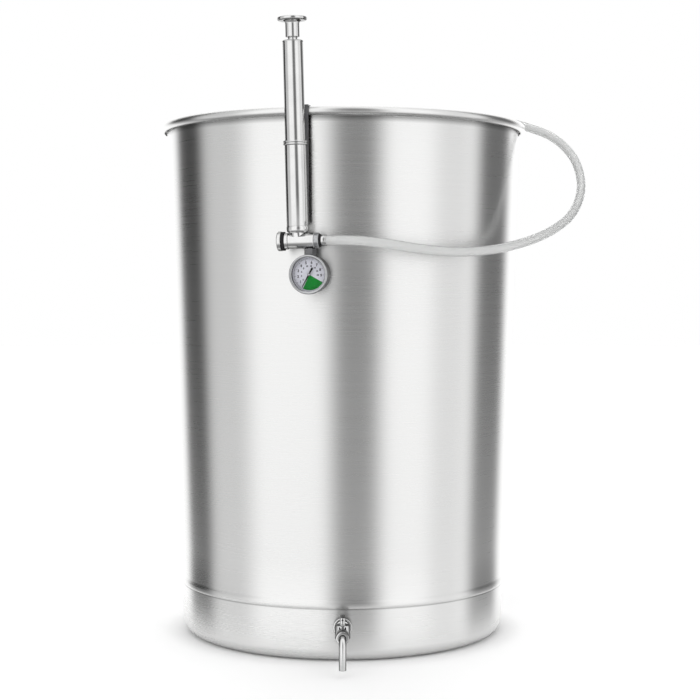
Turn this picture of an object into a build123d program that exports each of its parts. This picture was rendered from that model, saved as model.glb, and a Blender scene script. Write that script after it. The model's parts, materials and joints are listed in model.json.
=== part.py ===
from build123d import *
import math
import os

# Variable capacity brewing tank: an open, slightly tapered steel tank with a floating lid inside
# it, a hand pump hooked over the rim that blows up the lid's gasket through a clear hose, and a
# small tap at the foot. Millimetres, +Z up, the tap towards -Y, the origin at the centre of the
# base on the floor.

# ---- Tank ----
tank_height = 575.0  # top of the rolled rim
foot_r = 183.1  # outside of the wall, carried down to the floor
brim_r = 200.4  # outside of the wall, carried up to the top of the rim
sheet = 1.0  # steel sheet of the wall and the bottom
corner_r = 14.0  # turn between the base and the skirt
curl_r = 4.6  # rolled rim
curl_end = -100.0  # degrees, where the rolled edge stops under the rim
lap_low = 57.0  # lower edge of the wall sheet, where it laps over the bottom's skirt
lap_high = 63.5
lap_blend = 2.5  # height over which the wall steps back in

# ---- Pump, placed against the rim ----
pump_azimuth = -12.0  # degrees round from the front
pump_stand_off = 20.72  # barrel axis out from the wall, at the manifold
pump_drop = 137.0  # manifold's axis below the top of the rim
lean_side = 1.1  # degrees; outwards the pump leans with the wall
slip = 0.05  # radial running clearance of metal in metal

barrel_bore_r = 9.3
barrel_wall = 1.0
barrel_r = barrel_bore_r + barrel_wall
barrel_foot = 12.0  # heights along the barrel are measured from the manifold's axis
barrel_top = 199.4
cap_flange = 1.8
cap_depth = 7.0
lip_r = barrel_r + 0.35
lip_edge = 0.6
sleeve_wall = 0.68
sleeve_fit = 0.02
sleeve_r = barrel_r + sleeve_fit + sleeve_wall
sleeve_top = 96.5
ring_height = 4.3
ring_r = sleeve_r + 1.4
ridge_edge = 0.6
ridge_width = 1.4
ridge_groove = 0.9
collar_r = sleeve_r + 0.4
collar_chamfer = 2.4
collar_foot = 8.2
collar_top = 15.0

rod_r = 4.75
rod_tail_r = 3.0
neck_r = 7.15
neck_length = 16.3
neck_flare = 2.2
rod_show = 3.0  # bare rod between the cap and the knob's neck
knob_r = 15.0
knob_edge = 2.2
knob_dome = 3.0
knob_bevel = 0.8
seat_thick = 5.0
pump_floor = barrel_foot + seat_thick
piston_gap = 3.0  # under the piston when the knob is pushed in
piston_nut_height = 4.0
piston_nut_r = 6.2
piston_plate = 3.0
plate_clear = 0.3
cup_height = 6.0
cup_wall = 1.2
cup_hub = 2.5
cup_web = 2.0
piston_height = 5.0

ball_r = 3.2
seat_bore_r = 2.5
ball_rest_gap = 0.05
valve_bore_r = 4.0
ledge = 3.5  # ledge under the check spring
spring_wire_r = 0.35
spring_turns = 4
spring_clear = 0.2

body_r = 8.0  # manifold
boss_r = 7.2
body_left = -13.3
body_right = 17.4
body_flange_r = 8.4
body_flange = 3.6
gas_bore_r = 2.5
valve_port_r = 2.0
soft_edge = 0.8  # rounding of the rubber rings
bleed_r = gas_bore_r - slip
bleed_length = 12.0
bleed_washer = 3.0
bleed_washer_r = 9.6
bleed_knob_r = 10.0
bleed_knob = 4.5
bleed_edge = 0.9
bleed_gap = 0.2
knurl_length = 3.9
knurl_r = 8.0
knurl_grooves = 24
knurl_cut_r = 0.45
seal_length = 2.6
seal_r = 6.6
union_length = 6.0
union_r = 5.9
barb_length = 11.0
barb_bore_r = 1.8
barb_edge = 0.7

# ---- Pressure gauge ----
gauge_offset = 12.5  # to the right of the barrel's axis
gauge_drop = 34.0
gauge_r = 20.0
case_r = 19.0
case_back = -9.0  # depths are measured outwards from the barrel's axis
case_front = 10.0
case_edge = 1.5
bezel_back = 8.0
bezel_front = 13.5
bezel_edge = 1.2
window_r = 17.4
lens_thick = 1.5
dial_r = 17.9
dial_depth = 6.5
dial_thick = 0.8
needle_depth = 9.0
needle_thick = 0.6
pointer = 14.0
tail = 7.8
pivot_r = 2.0
pointer_root = 0.7  # half widths of the needle
pointer_end = 0.3
tail_end = 1.1
needle_clock = 210.0  # degrees clockwise from the top when there is no pressure
spindle_r = 0.8
movement_r = 4.5
stem_r = 6.3
stem_spigot_r = 3.4
stem_top = -8.1
stem_foot = -15.2
tube_r = 12.0
tube_sweep = 250.0
tube_thick = 1.6
tube_width = 4.0
gauge_bore_r = 1.2

# ---- Hook over the rim ----
strap_width = 18.0
strap_thick = 1.2
strap_gap = 0.05
strap_foot = 18.0
strap_leg = 30.0
strap_bend = 1.6

# ---- Hose ----
hose_r = 5.0
hose_bore_r = 3.25
hose_lead = 21.0  # straight run off the barb
hose_drop = 40.0  # straight run down to the lid
barb_r = hose_bore_r - slip

# ---- Floating lid ----
lid_z = 88.0  # underside of the lid at its lowest level
lid_gap = 6.75  # between the lid's steel and the wall
channel_depth = 18.0  # gasket channel, in from the steel's edge
channel_height = 32.0
gasket_clear = 0.3
gasket_wall = 3.0
gasket_inset = 0.6
gasket_bulge = 9.0
dish_flat = 38.0  # flat ring inside the channel
dish_rise = 12.0
dish_top_r = 32.0
nozzle_azimuth = 115.0
nozzle_inset = 12.0  # in from the channel
spigot_r = 4.0
elbow_r = 7.0
elbow_shoulder = 2.0
elbow_neck = 2.0
elbow_gap = 0.2
handle_r = 4.0
handle_half = 40.0
handle_inset = 15.0  # in from the channel
handle_bend = 14.0
handle_height = 46.0
vent_tail = 14.0
vent_tail_r = 11.0
vent_bore_r = 7.0
vent_flange_r = 18.0
vent_washer = 2.0
vent_flange = 3.0
vent_tube = 12.0
vent_disc_r = 9.0
vent_disc = 2.0
vent_lift = 4.0
vent_cap_r = 14.0
vent_cap_wall = 1.2
vent_headroom = 1.0
cap_edge = 1.0
vent_holes = 6
vent_hole_r = 2.2
vent_hole_z = 7.0
vent_nut = 6.0

# ---- Tap ----
tap_z = 38.0
tap_flange_r = 10.0
tap_flange = 3.0
tap_washer = 2.0
tap_tail_r = 6.5
tap_tail = 14.0
tap_nut_r = 12.0
tap_nut = 5.0
washer_inset = 0.5
tap_pipe_r = 5.2
tap_bore_r = 3.3
cock_out = 22.0  # plug axis, out from the wall
cock_r = 8.0
cock_low = -7.5
cock_high = 7.0
plug_r = 4.6
plug_tail = 2.6
plug_stem_r = 2.0
plug_nut_r = 5.4
plug_drop = 1.0  # plug's foot below its housing
plug_rise = 0.5
key_width = 5.4
key_length = 18.0
key_height = 8.2
key_eye_r = 1.5
key_corner = 2.2
key_edge = 0.7
hub_r = 7.0
hub_back = 42.0
hub_front = 54.8
hub_edge = 0.8
spout_r = 4.2
spout_out = 60.0
spout_end_z = 7.0
spout_bend = 8.0
spout_socket = 6.0

foot = (Align.CENTER, Align.CENTER, Align.MIN)
head = (Align.CENTER, Align.CENTER, Align.MAX)
pieces = {}


def wall_r(z):
    """Outside radius of the tapered wall at a height."""
    return foot_r + (brim_r - foot_r) * z / tank_height


def keep(name, piece):
    """Label a finished piece and note it for writing."""
    piece.part.label = name
    pieces[name] = piece.part


def tube(outer, inner, length):
    """A tube standing on the current plane."""
    Cylinder(outer, length, align=foot)
    Cylinder(inner, length, align=foot, mode=Mode.SUBTRACT)


# ---- Tank wall and bottom ----
curl_z = tank_height - curl_r
curl_x = wall_r(curl_z) + curl_r - sheet


def curl_point(radius, degrees):
    """A point of the rolled rim's section."""
    turn = math.radians(degrees)
    return (curl_x + radius * math.cos(turn), curl_z + radius * math.sin(turn))


curl_middle = (180 + curl_end) / 2
lap_in = wall_r(lap_low)
blend_z = lap_high + lap_blend
blend_r = wall_r(blend_z)
with BuildPart() as tank_wall:
    with BuildSketch(Plane.XZ):
        with BuildLine():
            Line((lap_in, lap_low), (wall_r(lap_high), lap_high))
            Line((wall_r(lap_high), lap_high), (blend_r - sheet, blend_z))
            Line((blend_r - sheet, blend_z), curl_point(curl_r, 180))
            ThreePointArc(
                curl_point(curl_r, 180),
                curl_point(curl_r, curl_middle),
                curl_point(curl_r, curl_end),
            )
            Line(curl_point(curl_r, curl_end), curl_point(curl_r - sheet, curl_end))
            ThreePointArc(
                curl_point(curl_r - sheet, curl_end),
                curl_point(curl_r - sheet, curl_middle),
                curl_point(curl_r - sheet, 180),
            )
            Line(curl_point(curl_r - sheet, 180), (blend_r, blend_z))
            Line((blend_r, blend_z), (wall_r(lap_high) + sheet, lap_high))
            Line((wall_r(lap_high) + sheet, lap_high), (lap_in + sheet, lap_low))
            Line((lap_in + sheet, lap_low), (lap_in, lap_low))
        make_face()
    revolve(axis=Axis.Z)
keep("tank_wall", tank_wall)

tap_wall_r = wall_r(tap_z)
tap = Plane(origin=(0, -tap_wall_r, tap_z), x_dir=(1, 0, 0), z_dir=(0, -1, 0))

with BuildPart() as tank_bottom:
    with BuildSketch(Plane.XZ):
        with BuildLine():
            Polyline(
                (0, 0),
                (foot_r, 0),
                (wall_r(lap_high), lap_high),
                (wall_r(lap_high) - sheet, lap_high),
                (foot_r - sheet, sheet),
                (0, sheet),
                close=True,
            )
        make_face()
        corners = vertices().filter_by(lambda v: v.X > foot_r - 2 * sheet and abs(v.Y) + v.Z < 2 * sheet)
        fillet(corners.sort_by(Axis.X)[-1], corner_r)
        inside = vertices().filter_by(lambda v: abs(v.X - foot_r + sheet) < 0.2 * slip and v.Z < 2 * sheet)
        fillet(inside, corner_r - sheet)
    revolve(axis=Axis.Z)
    with BuildSketch(tap):
        Circle(tap_tail_r + slip)
    extrude(amount=-2 * sheet, both=True, mode=Mode.SUBTRACT)
keep("tank_bottom", tank_bottom)


# ---- Pump ----
manifold_z = tank_height - pump_drop
pump_axis_r = wall_r(manifold_z) + pump_stand_off
turn = math.radians(pump_azimuth)
outward = Vector(math.sin(turn), -math.cos(turn), 0)
rightward = Vector(math.cos(turn), math.sin(turn), 0)
tan_out = (brim_r - foot_r) / tank_height
tan_side = math.tan(math.radians(lean_side))
pump_up = (Vector(0, 0, 1) + outward * tan_out - rightward * tan_side).normalized()
pump_right = (rightward - pump_up * rightward.dot(pump_up)).normalized()
pump = Plane(origin=outward * pump_axis_r + Vector(0, 0, manifold_z), x_dir=pump_right, z_dir=pump_up)
pump_side = Plane(origin=pump.origin, x_dir=pump.x_dir, z_dir=-pump.y_dir)
pump_axis = Axis(pump.origin, pump.z_dir)
across = Plane(origin=pump.origin, x_dir=pump.y_dir, z_dir=pump.x_dir)

with BuildPart(pump.offset(barrel_foot)) as barrel:
    tube(barrel_r, barrel_bore_r, barrel_top - barrel_foot)
keep("pump_barrel", barrel)

with BuildPart(pump.offset(collar_top)) as sleeve:
    tube(sleeve_r, barrel_r + sleeve_fit, sleeve_top - collar_top)
keep("barrel_sleeve", sleeve)

with BuildPart(pump.offset(barrel_top - cap_depth)) as cap:
    tube(barrel_bore_r, rod_r + slip, cap_depth)
    with BuildSketch(pump.offset(barrel_top)):
        Circle(lip_r)
        Circle(rod_r + slip, mode=Mode.SUBTRACT)
    extrude(amount=cap_flange)
    rims = cap.edges().filter_by(GeomType.CIRCLE)
    fillet(rims.filter_by(lambda e: e.radius > lip_r - slip), lip_edge)
keep("barrel_cap", cap)

with BuildPart() as collar:
    with BuildSketch(pump.offset(collar_foot)):
        Circle(collar_r)
    extrude(amount=collar_top - collar_foot)
    chamfer(collar.edges().filter_by(GeomType.CIRCLE).sort_by_distance(pump.origin)[0], collar_chamfer)
    with BuildSketch(pump.offset(barrel_foot)):
        Circle(barrel_r)
    extrude(amount=collar_top - barrel_foot, mode=Mode.SUBTRACT)
    with BuildSketch(pump.offset(collar_foot)):
        Circle(boss_r)
    extrude(amount=barrel_foot - collar_foot, mode=Mode.SUBTRACT)
keep("barrel_collar", collar)

with BuildPart(pump.offset(barrel_foot)) as valve_seat:
    tube(barrel_bore_r, seat_bore_r, seat_thick)
keep("valve_seat", valve_seat)

piston_foot = pump_floor + piston_gap
rod_shoulder = piston_foot + piston_nut_height + piston_plate + cup_height + piston_height
neck_foot = barrel_top + cap_flange + rod_show
knob_foot = neck_foot + neck_length
with BuildPart(pump.offset(piston_foot)) as rod:
    Cylinder(rod_tail_r, rod_shoulder - piston_foot, align=foot)
    with BuildSketch(pump.offset(rod_shoulder)):
        Circle(rod_r)
    extrude(amount=knob_foot - rod_shoulder)
keep("plunger_rod", rod)

with BuildPart() as neck:
    with BuildSketch(pump_side):
        with BuildLine():
            Polyline(
                (rod_r, knob_foot),
                (rod_r, neck_foot),
                (neck_r, neck_foot),
                (neck_r, knob_foot - neck_flare),
                (neck_r + neck_flare, knob_foot),
                close=True,
            )
        make_face()
    revolve(axis=pump_axis)
keep("knob_neck", neck)

dome_top = knob_foot + knob_edge + knob_dome
dome_r = (knob_r**2 + knob_dome**2) / (2 * knob_dome)
with BuildPart() as knob:
    with BuildSketch(pump_side):
        with BuildLine():
            k1 = Polyline((0, knob_foot), (knob_r - knob_bevel, knob_foot), (knob_r, knob_foot + knob_bevel))
            k2 = Line(k1 @ 1, (knob_r, knob_foot + knob_edge))
            k3 = Line((0, dome_top), (0, knob_foot))
            RadiusArc(k2 @ 1, k3 @ 0, -dome_r)
        make_face()
    revolve(axis=pump_axis)
keep("plunger_knob", knob)

with BuildPart() as piston_nut:
    with BuildSketch(pump.offset(piston_foot)):
        RegularPolygon(piston_nut_r, 6)
        Circle(rod_tail_r, mode=Mode.SUBTRACT)
    extrude(amount=piston_nut_height)
keep("piston_nut", piston_nut)

plate_foot = piston_foot + piston_nut_height
with BuildPart(pump.offset(plate_foot)) as plate:
    tube(barrel_bore_r - plate_clear, rod_tail_r, piston_plate)
keep("piston_plate", plate)

cup_foot = plate_foot + piston_plate
with BuildPart(pump.offset(cup_foot)) as cup:
    tube(barrel_bore_r - slip, rod_tail_r, cup_height)
    with BuildSketch(pump.offset(cup_foot)):
        Circle(barrel_bore_r - slip - cup_wall)
        Circle(rod_tail_r + cup_hub, mode=Mode.SUBTRACT)
    extrude(amount=cup_height - cup_web, mode=Mode.SUBTRACT)
keep("piston_cup", cup)

with BuildPart(pump.offset(cup_foot + cup_height)) as piston:
    tube(barrel_bore_r - slip, rod_tail_r, piston_height)
keep("piston", piston)

ball_h = barrel_foot - math.sqrt(ball_r**2 - seat_bore_r**2) - ball_rest_gap
with BuildPart(pump.offset(ball_h)) as ball:
    Sphere(ball_r)
keep("check_ball", ball)

spring_length = ball_h - ball_r - ledge - 2 * spring_wire_r - 2 * slip
spring_mean_r = ball_r - spring_wire_r - spring_clear
with BuildPart() as spring:
    with BuildLine(pump.offset(ledge + spring_wire_r + slip)) as coil:
        Helix(spring_length / spring_turns, spring_length, spring_mean_r)
    with BuildSketch(Plane(coil.line @ 0, z_dir=coil.line % 0)):
        Circle(spring_wire_r)
    sweep(path=coil.line, is_frenet=True)
keep("check_spring", spring)

stem = Plane(origin=pump.from_local_coords((gauge_offset, 0, 0)), x_dir=pump.x_dir, z_dir=pump.z_dir)
with BuildPart() as manifold:
    with BuildSketch(across.offset(body_left)):
        Circle(body_r)
    extrude(amount=body_right - body_left)
    with BuildSketch(across.offset(body_left)):
        Circle(body_flange_r)
    extrude(amount=body_flange)
    with BuildSketch(pump):
        Circle(boss_r)
    extrude(amount=barrel_foot)
    with BuildSketch(across.offset(body_left)):
        Circle(gas_bore_r)
    extrude(amount=body_right - body_left, mode=Mode.SUBTRACT)
    with BuildSketch(pump.offset(ledge)):
        Circle(valve_bore_r)
    extrude(amount=barrel_foot - ledge, mode=Mode.SUBTRACT)
    with BuildSketch(pump):
        Circle(valve_port_r)
    extrude(amount=ledge, mode=Mode.SUBTRACT)
    with BuildSketch(stem):
        Circle(stem_spigot_r)
    extrude(amount=-body_r - body_flange, mode=Mode.SUBTRACT)
keep("manifold", manifold)

washer_left = body_left - bleed_washer
with BuildPart(across.offset(washer_left)) as bleed_ring:
    tube(bleed_washer_r, gas_bore_r, bleed_washer)
    rims = bleed_ring.edges().filter_by(GeomType.CIRCLE)
    fillet(rims.filter_by(lambda e: e.radius > gas_bore_r + slip), soft_edge)
keep("bleed_washer", bleed_ring)

knob_right = washer_left - bleed_gap
with BuildPart(across.offset(knob_right)) as bleed_pin:
    Cylinder(bleed_r, bleed_length, align=foot)
    Cylinder(bleed_r, bleed_knob - 1, align=head)
keep("bleed_pin", bleed_pin)

with BuildPart(across.offset(knob_right)) as bleed_knob_piece:
    Cylinder(bleed_knob_r, bleed_knob, align=head)
    Cylinder(bleed_r + slip, bleed_knob - 1 + slip, align=head, mode=Mode.SUBTRACT)
    rims = bleed_knob_piece.edges().filter_by(GeomType.CIRCLE)
    fillet(rims.filter_by(lambda e: e.radius > bleed_knob_r - slip), bleed_edge)
keep("bleed_knob", bleed_knob_piece)

with BuildPart(across.offset(body_right)) as knurled_ring:
    tube(knurl_r, gas_bore_r, knurl_length)
    with BuildSketch(across.offset(body_right)):
        with PolarLocations(knurl_r, knurl_grooves):
            Circle(knurl_cut_r)
    extrude(amount=knurl_length, mode=Mode.SUBTRACT)
keep("knurled_ring", knurled_ring)

seal_left = body_right + knurl_length
with BuildPart(across.offset(seal_left)) as union_seal:
    tube(seal_r, gas_bore_r, seal_length)
    rims = union_seal.edges().filter_by(GeomType.CIRCLE)
    fillet(rims.filter_by(lambda e: e.radius > seal_r - slip), soft_edge)
keep("union_seal", union_seal)

union_left = seal_left + seal_length
union_right = union_left + union_length
with BuildPart(across.offset(union_left)) as barb:
    tube(union_r, barb_bore_r, union_length)
    rims = barb.edges().filter_by(GeomType.CIRCLE)
    chamfer(rims.filter_by(lambda e: e.radius > union_r - slip), barb_edge)
    with BuildSketch(across.offset(union_right)):
        Circle(barb_r)
        Circle(barb_bore_r, mode=Mode.SUBTRACT)
    extrude(amount=barb_length)
keep("pump_barb", barb)

# ---- Hook over the rim ----
radial = Plane(origin=(0, 0, 0), x_dir=outward, z_dir=-rightward)
strap_out = sleeve_r + strap_gap


def strap_face(z):
    """Radius of the strap's outer face at a height."""
    return pump_axis_r + (z - manifold_z) * tan_out - strap_out / math.cos(math.atan(tan_out))


strap_low = manifold_z + strap_foot
strap_top = tank_height + strap_gap + strap_thick
leg_low = tank_height - strap_leg
leg_gap = strap_gap + (strap_width / 2) ** 2 / (2 * (wall_r(leg_low) - sheet))
leg_top_r = wall_r(tank_height) - sheet - leg_gap
leg_low_r = wall_r(leg_low) - sheet - leg_gap
with BuildPart() as strap:
    with BuildSketch(radial):
        with BuildLine():
            Polyline(
                (strap_face(strap_low), strap_low),
                (strap_face(strap_top), strap_top),
                (leg_top_r - strap_thick, strap_top),
                (leg_low_r - strap_thick, leg_low),
                (leg_low_r, leg_low),
                (leg_top_r, strap_top - strap_thick),
                (strap_face(strap_top) - strap_thick, strap_top - strap_thick),
                (strap_face(strap_low) - strap_thick, strap_low),
                close=True,
            )
        make_face()
        fillet(vertices().filter_by(lambda v: v.Z > strap_top - slip), strap_bend)
    extrude(amount=strap_width / 2, both=True)
keep("rim_hook", strap)

with BuildPart() as ring:
    with BuildSketch(pump_side):
        with BuildLine():
            Polyline(
                (barrel_r + sleeve_fit, sleeve_top),
                (ring_r - ridge_edge, sleeve_top),
                (ring_r, sleeve_top + ridge_edge),
                (ring_r, sleeve_top + ridge_width),
                (ring_r - ridge_groove, sleeve_top + ring_height / 2),
                (ring_r, sleeve_top + ring_height - ridge_width),
                (ring_r, sleeve_top + ring_height - ridge_edge),
                (ring_r - ridge_edge, sleeve_top + ring_height),
                (barrel_r + sleeve_fit, sleeve_top + ring_height),
                close=True,
            )
        make_face()
    revolve(axis=pump_axis)
    with BuildSketch(pump.offset(sleeve_top)):
        with Locations((0, strap_out)):
            Rectangle(4 * ring_r, 2 * ring_r, align=(Align.CENTER, Align.MIN))
    extrude(amount=ring_height, mode=Mode.SUBTRACT)
keep("ring_clamp", ring)

# ---- Pressure gauge ----
gauge = Plane(
    origin=pump.from_local_coords((gauge_offset, 0, -gauge_drop)), x_dir=pump.x_dir, z_dir=-pump.y_dir
)
gauge_axis = Axis(gauge.origin, gauge.z_dir)

with BuildPart(gauge.offset(case_back)) as case:
    Cylinder(case_r, case_front - case_back, align=foot)
    rims = case.edges().filter_by(GeomType.CIRCLE)
    fillet(rims.sort_by_distance(gauge.offset(case_back).origin)[0], case_edge)
    with BuildSketch(gauge.offset(case_back + sheet)):
        Circle(case_r - sheet)
    extrude(amount=case_front - case_back, mode=Mode.SUBTRACT)
    with BuildSketch(stem.offset(-gauge_drop + case_r / 2)):
        Circle(stem_spigot_r)
    extrude(amount=case_r, mode=Mode.SUBTRACT)
keep("gauge_case", case)

with BuildPart() as bezel:
    with BuildSketch(gauge.offset(bezel_back)):
        Circle(gauge_r)
    extrude(amount=bezel_front - bezel_back)
    rims = bezel.edges().filter_by(GeomType.CIRCLE)
    fillet(rims.sort_by_distance(gauge.offset(bezel_front).origin)[0], bezel_edge)
    with BuildSketch(gauge.offset(bezel_back)):
        Circle(case_r)
    extrude(amount=bezel_front - bezel_back - sheet, mode=Mode.SUBTRACT)
    with BuildSketch(gauge.offset(bezel_back)):
        Circle(window_r)
    extrude(amount=bezel_front - bezel_back, mode=Mode.SUBTRACT)
keep("gauge_bezel", bezel)

lens_front = bezel_front - sheet
with BuildPart(gauge.offset(lens_front - lens_thick)) as lens:
    Cylinder(case_r - slip, lens_thick, align=foot)
keep("gauge_lens", lens)

with BuildPart(gauge.offset(dial_depth - dial_thick)) as dial:
    tube(dial_r, spindle_r + slip, dial_thick)
keep("gauge_dial", dial)

with BuildPart(gauge.offset(case_back + sheet)) as movement:
    tube(movement_r, spindle_r + slip, dial_depth - dial_thick - case_back - sheet)
keep("gauge_movement", movement)

with BuildPart(gauge.offset(0)) as needle:
    Cylinder(spindle_r, needle_depth + needle_thick, align=foot)
    with BuildSketch(gauge.offset(needle_depth)) as outline:
        with Locations(Rot(0, 0, 90 - needle_clock)):
            Circle(pivot_r)
            for reach, half in ((pointer, pointer_end), (-tail, tail_end)):
                Polygon((0, pointer_root), (0, -pointer_root), (reach, -half), (reach, half), align=None)
    extrude(amount=needle_thick)
keep("gauge_needle", needle)

with BuildPart() as bourdon:
    with BuildSketch(Plane(gauge.origin, x_dir=gauge.y_dir, z_dir=-gauge.x_dir)):
        with Locations((tube_r, 0)):
            Rectangle(tube_thick, tube_width)
    revolve(axis=gauge_axis, revolution_arc=tube_sweep)
keep("bourdon_tube", bourdon)

stem_inner = -gauge_drop + tube_r + tube_thick / 2
with BuildPart() as gauge_stem:
    with BuildSketch(stem.offset(stem_foot)):
        RegularPolygon(stem_r, 6)
    extrude(amount=stem_top - stem_foot)
    with BuildSketch(gauge):
        Circle(case_r)
    extrude(amount=case_r, both=True, mode=Mode.SUBTRACT)
    with BuildSketch(across.offset(body_left)):
        Circle(body_r)
    extrude(amount=body_right - body_left, mode=Mode.SUBTRACT)
    with BuildSketch(stem.offset(stem_inner)):
        Circle(stem_spigot_r)
    extrude(amount=-stem_inner - gas_bore_r - sheet)
    with BuildSketch(stem.offset(stem_inner)):
        Circle(gauge_bore_r)
    extrude(amount=-stem_inner, mode=Mode.SUBTRACT)
keep("gauge_stem", gauge_stem)

# ---- Floating lid ----
lid_steel_r = wall_r(lid_z) - sheet - lid_gap
channel_r = lid_steel_r - channel_depth
dish_flat_r = channel_r - dish_flat
nozzle_r = channel_r - nozzle_inset
handle_out = channel_r - handle_inset
channel_top = lid_z + channel_height
gasket_z = lid_z + channel_height / 2
gasket_r = wall_r(gasket_z) - sheet - gasket_clear
with BuildPart() as lid_pan:
    with BuildSketch(Plane.XZ):
        with BuildLine():
            Polyline(
                (vent_tail_r + slip, lid_z + dish_rise),
                (dish_top_r, lid_z + dish_rise),
                (dish_flat_r, lid_z),
                (lid_steel_r, lid_z),
                (lid_steel_r, lid_z + sheet),
                (dish_flat_r, lid_z + sheet),
                (dish_top_r, lid_z + dish_rise + sheet),
                (vent_tail_r + slip, lid_z + dish_rise + sheet),
                close=True,
            )
        make_face()
    revolve(axis=Axis.Z)
keep("lid_pan", lid_pan)

swing = math.radians(nozzle_azimuth)
nozzle_out = Vector(math.sin(swing), -math.cos(swing), 0)
spigot = Plane(origin=nozzle_out * nozzle_r + Vector(0, 0, gasket_z), x_dir=(0, 0, 1), z_dir=nozzle_out)
with BuildPart() as channel:
    with BuildSketch(Plane.XZ):
        with BuildLine():
            Polyline(
                (channel_r, lid_z + sheet),
                (channel_r + sheet, lid_z + sheet),
                (channel_r + sheet, channel_top - sheet),
                (lid_steel_r, channel_top - sheet),
                (lid_steel_r, channel_top),
                (channel_r, channel_top),
                close=True,
            )
        make_face()
    revolve(axis=Axis.Z)
    with BuildSketch(spigot):
        Circle(spigot_r)
    extrude(amount=channel_r + 2 * sheet - nozzle_r, mode=Mode.SUBTRACT)
keep("lid_channel", channel)

gasket_low = lid_z + sheet + gasket_inset
gasket_high = channel_top - sheet - gasket_inset
gasket_in = channel_r + sheet
with BuildPart() as gasket:
    with BuildSketch(Plane.XZ):
        with BuildLine():
            g1 = Polyline(
                (gasket_r - gasket_bulge, gasket_high),
                (gasket_in, gasket_high),
                (gasket_in, gasket_low),
                (gasket_r - gasket_bulge, gasket_low),
            )
            ThreePointArc(g1 @ 1, (gasket_r, gasket_z), g1 @ 0)
        make_face()
        offset(amount=-gasket_wall, kind=Kind.INTERSECTION, mode=Mode.SUBTRACT)
    revolve(axis=Axis.Z)
    with BuildSketch(spigot):
        Circle(spigot_r)
    extrude(amount=gasket_in + gasket_wall + sheet - nozzle_r, mode=Mode.SUBTRACT)
keep("lid_gasket", gasket)

elbow_top = gasket_z + elbow_r + elbow_shoulder
hose_end_z = elbow_top + elbow_neck
with BuildPart() as elbow:
    with BuildSketch(spigot):
        Circle(spigot_r)
    extrude(amount=gasket_in + gasket_wall - nozzle_r)
    with BuildSketch(Plane(nozzle_out * nozzle_r + Vector(0, 0, gasket_z - elbow_r), x_dir=nozzle_out)):
        RegularPolygon(elbow_r, 6)
    extrude(amount=hose_end_z - gasket_z + elbow_r)
    with BuildSketch(Plane(nozzle_out * nozzle_r + Vector(0, 0, hose_end_z), x_dir=nozzle_out)):
        Circle(barb_r)
    extrude(amount=barb_length)
    with BuildSketch(Plane(nozzle_out * nozzle_r + Vector(0, 0, gasket_z), x_dir=nozzle_out)):
        Circle(barb_bore_r)
    extrude(amount=hose_end_z + barb_length - gasket_z, mode=Mode.SUBTRACT)
    with BuildSketch(spigot):
        Circle(barb_bore_r)
    extrude(amount=gasket_in + gasket_wall - nozzle_r, mode=Mode.SUBTRACT)
keep("hose_elbow", elbow)

nut_out = channel_r * math.cos(math.asin(elbow_r / channel_r)) - nozzle_r
with BuildPart() as elbow_nut:
    with BuildSketch(spigot.offset(elbow_r + elbow_gap)):
        RegularPolygon(elbow_r, 6)
        Circle(spigot_r, mode=Mode.SUBTRACT)
    extrude(amount=nut_out - elbow_r - elbow_gap)
keep("elbow_nut", elbow_nut)

handle_foot = lid_z + sheet
with BuildPart() as handles:
    for side in (-1, 1):
        with BuildLine() as grip:
            FilletPolyline(
                (side * handle_out, -handle_half, handle_foot),
                (side * handle_out, -handle_half, handle_foot + handle_height),
                (side * handle_out, handle_half, handle_foot + handle_height),
                (side * handle_out, handle_half, handle_foot),
                radius=handle_bend,
            )
        with BuildSketch(Plane((side * handle_out, -handle_half, handle_foot))):
            Circle(handle_r)
        sweep(path=grip.line)
keep("lid_handles", handles)

vent_seat = lid_z + dish_rise + sheet
with BuildPart(Plane.XY.offset(vent_seat)) as vent_seal:
    tube(vent_flange_r, vent_tail_r, vent_washer)
keep("vent_washer", vent_seal)

flange_z = vent_seat + vent_washer
tube_z = flange_z + vent_flange
with BuildPart(Plane.XY.offset(vent_seat - vent_tail)) as vent_body:
    tube(vent_tail_r, vent_bore_r, tube_z + vent_tube - vent_seat + vent_tail)
    with BuildSketch(Plane.XY.offset(flange_z)):
        Circle(vent_flange_r)
        Circle(vent_bore_r, mode=Mode.SUBTRACT)
    extrude(amount=vent_flange)
keep("vent_body", vent_body)

with BuildPart() as vent_nut_piece:
    with BuildSketch(Plane.XY.offset(lid_z + dish_rise)):
        RegularPolygon(vent_flange_r - 1, 6)
        Circle(vent_tail_r, mode=Mode.SUBTRACT)
    extrude(amount=-vent_nut)
keep("vent_nut", vent_nut_piece)

disc_z = tube_z + vent_tube
with BuildPart(Plane.XY.offset(disc_z)) as vent_disc_piece:
    Cylinder(vent_disc_r, vent_disc, align=foot)
keep("vent_disc", vent_disc_piece)

cap_roof = disc_z + vent_disc + vent_lift + vent_headroom
with BuildPart(Plane.XY.offset(tube_z)) as vent_cap:
    Cylinder(vent_cap_r, cap_roof + vent_cap_wall - tube_z, align=foot)
    Cylinder(vent_cap_r - vent_cap_wall, cap_roof - tube_z, align=foot, mode=Mode.SUBTRACT)
    fillet(vent_cap.edges().filter_by(GeomType.CIRCLE).sort_by(Axis.Z)[-1], cap_edge)
    for hole in range(vent_holes):
        angle = 360 / vent_holes * hole
        with BuildSketch(Plane.XZ.rotated((0, 0, angle)).move(Location((0, 0, tube_z + vent_hole_z)))):
            Circle(vent_hole_r)
        extrude(amount=2 * vent_cap_r, mode=Mode.SUBTRACT)
keep("vent_cap", vent_cap)

# ---- Tap ----
with BuildPart() as outer_skin:
    with BuildSketch(Plane.XZ):
        with BuildLine():
            Polyline((0, sheet), (wall_r(sheet), sheet), (lap_in, lap_low), (0, lap_low), close=True)
        make_face()
    revolve(axis=Axis.Z)

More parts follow.
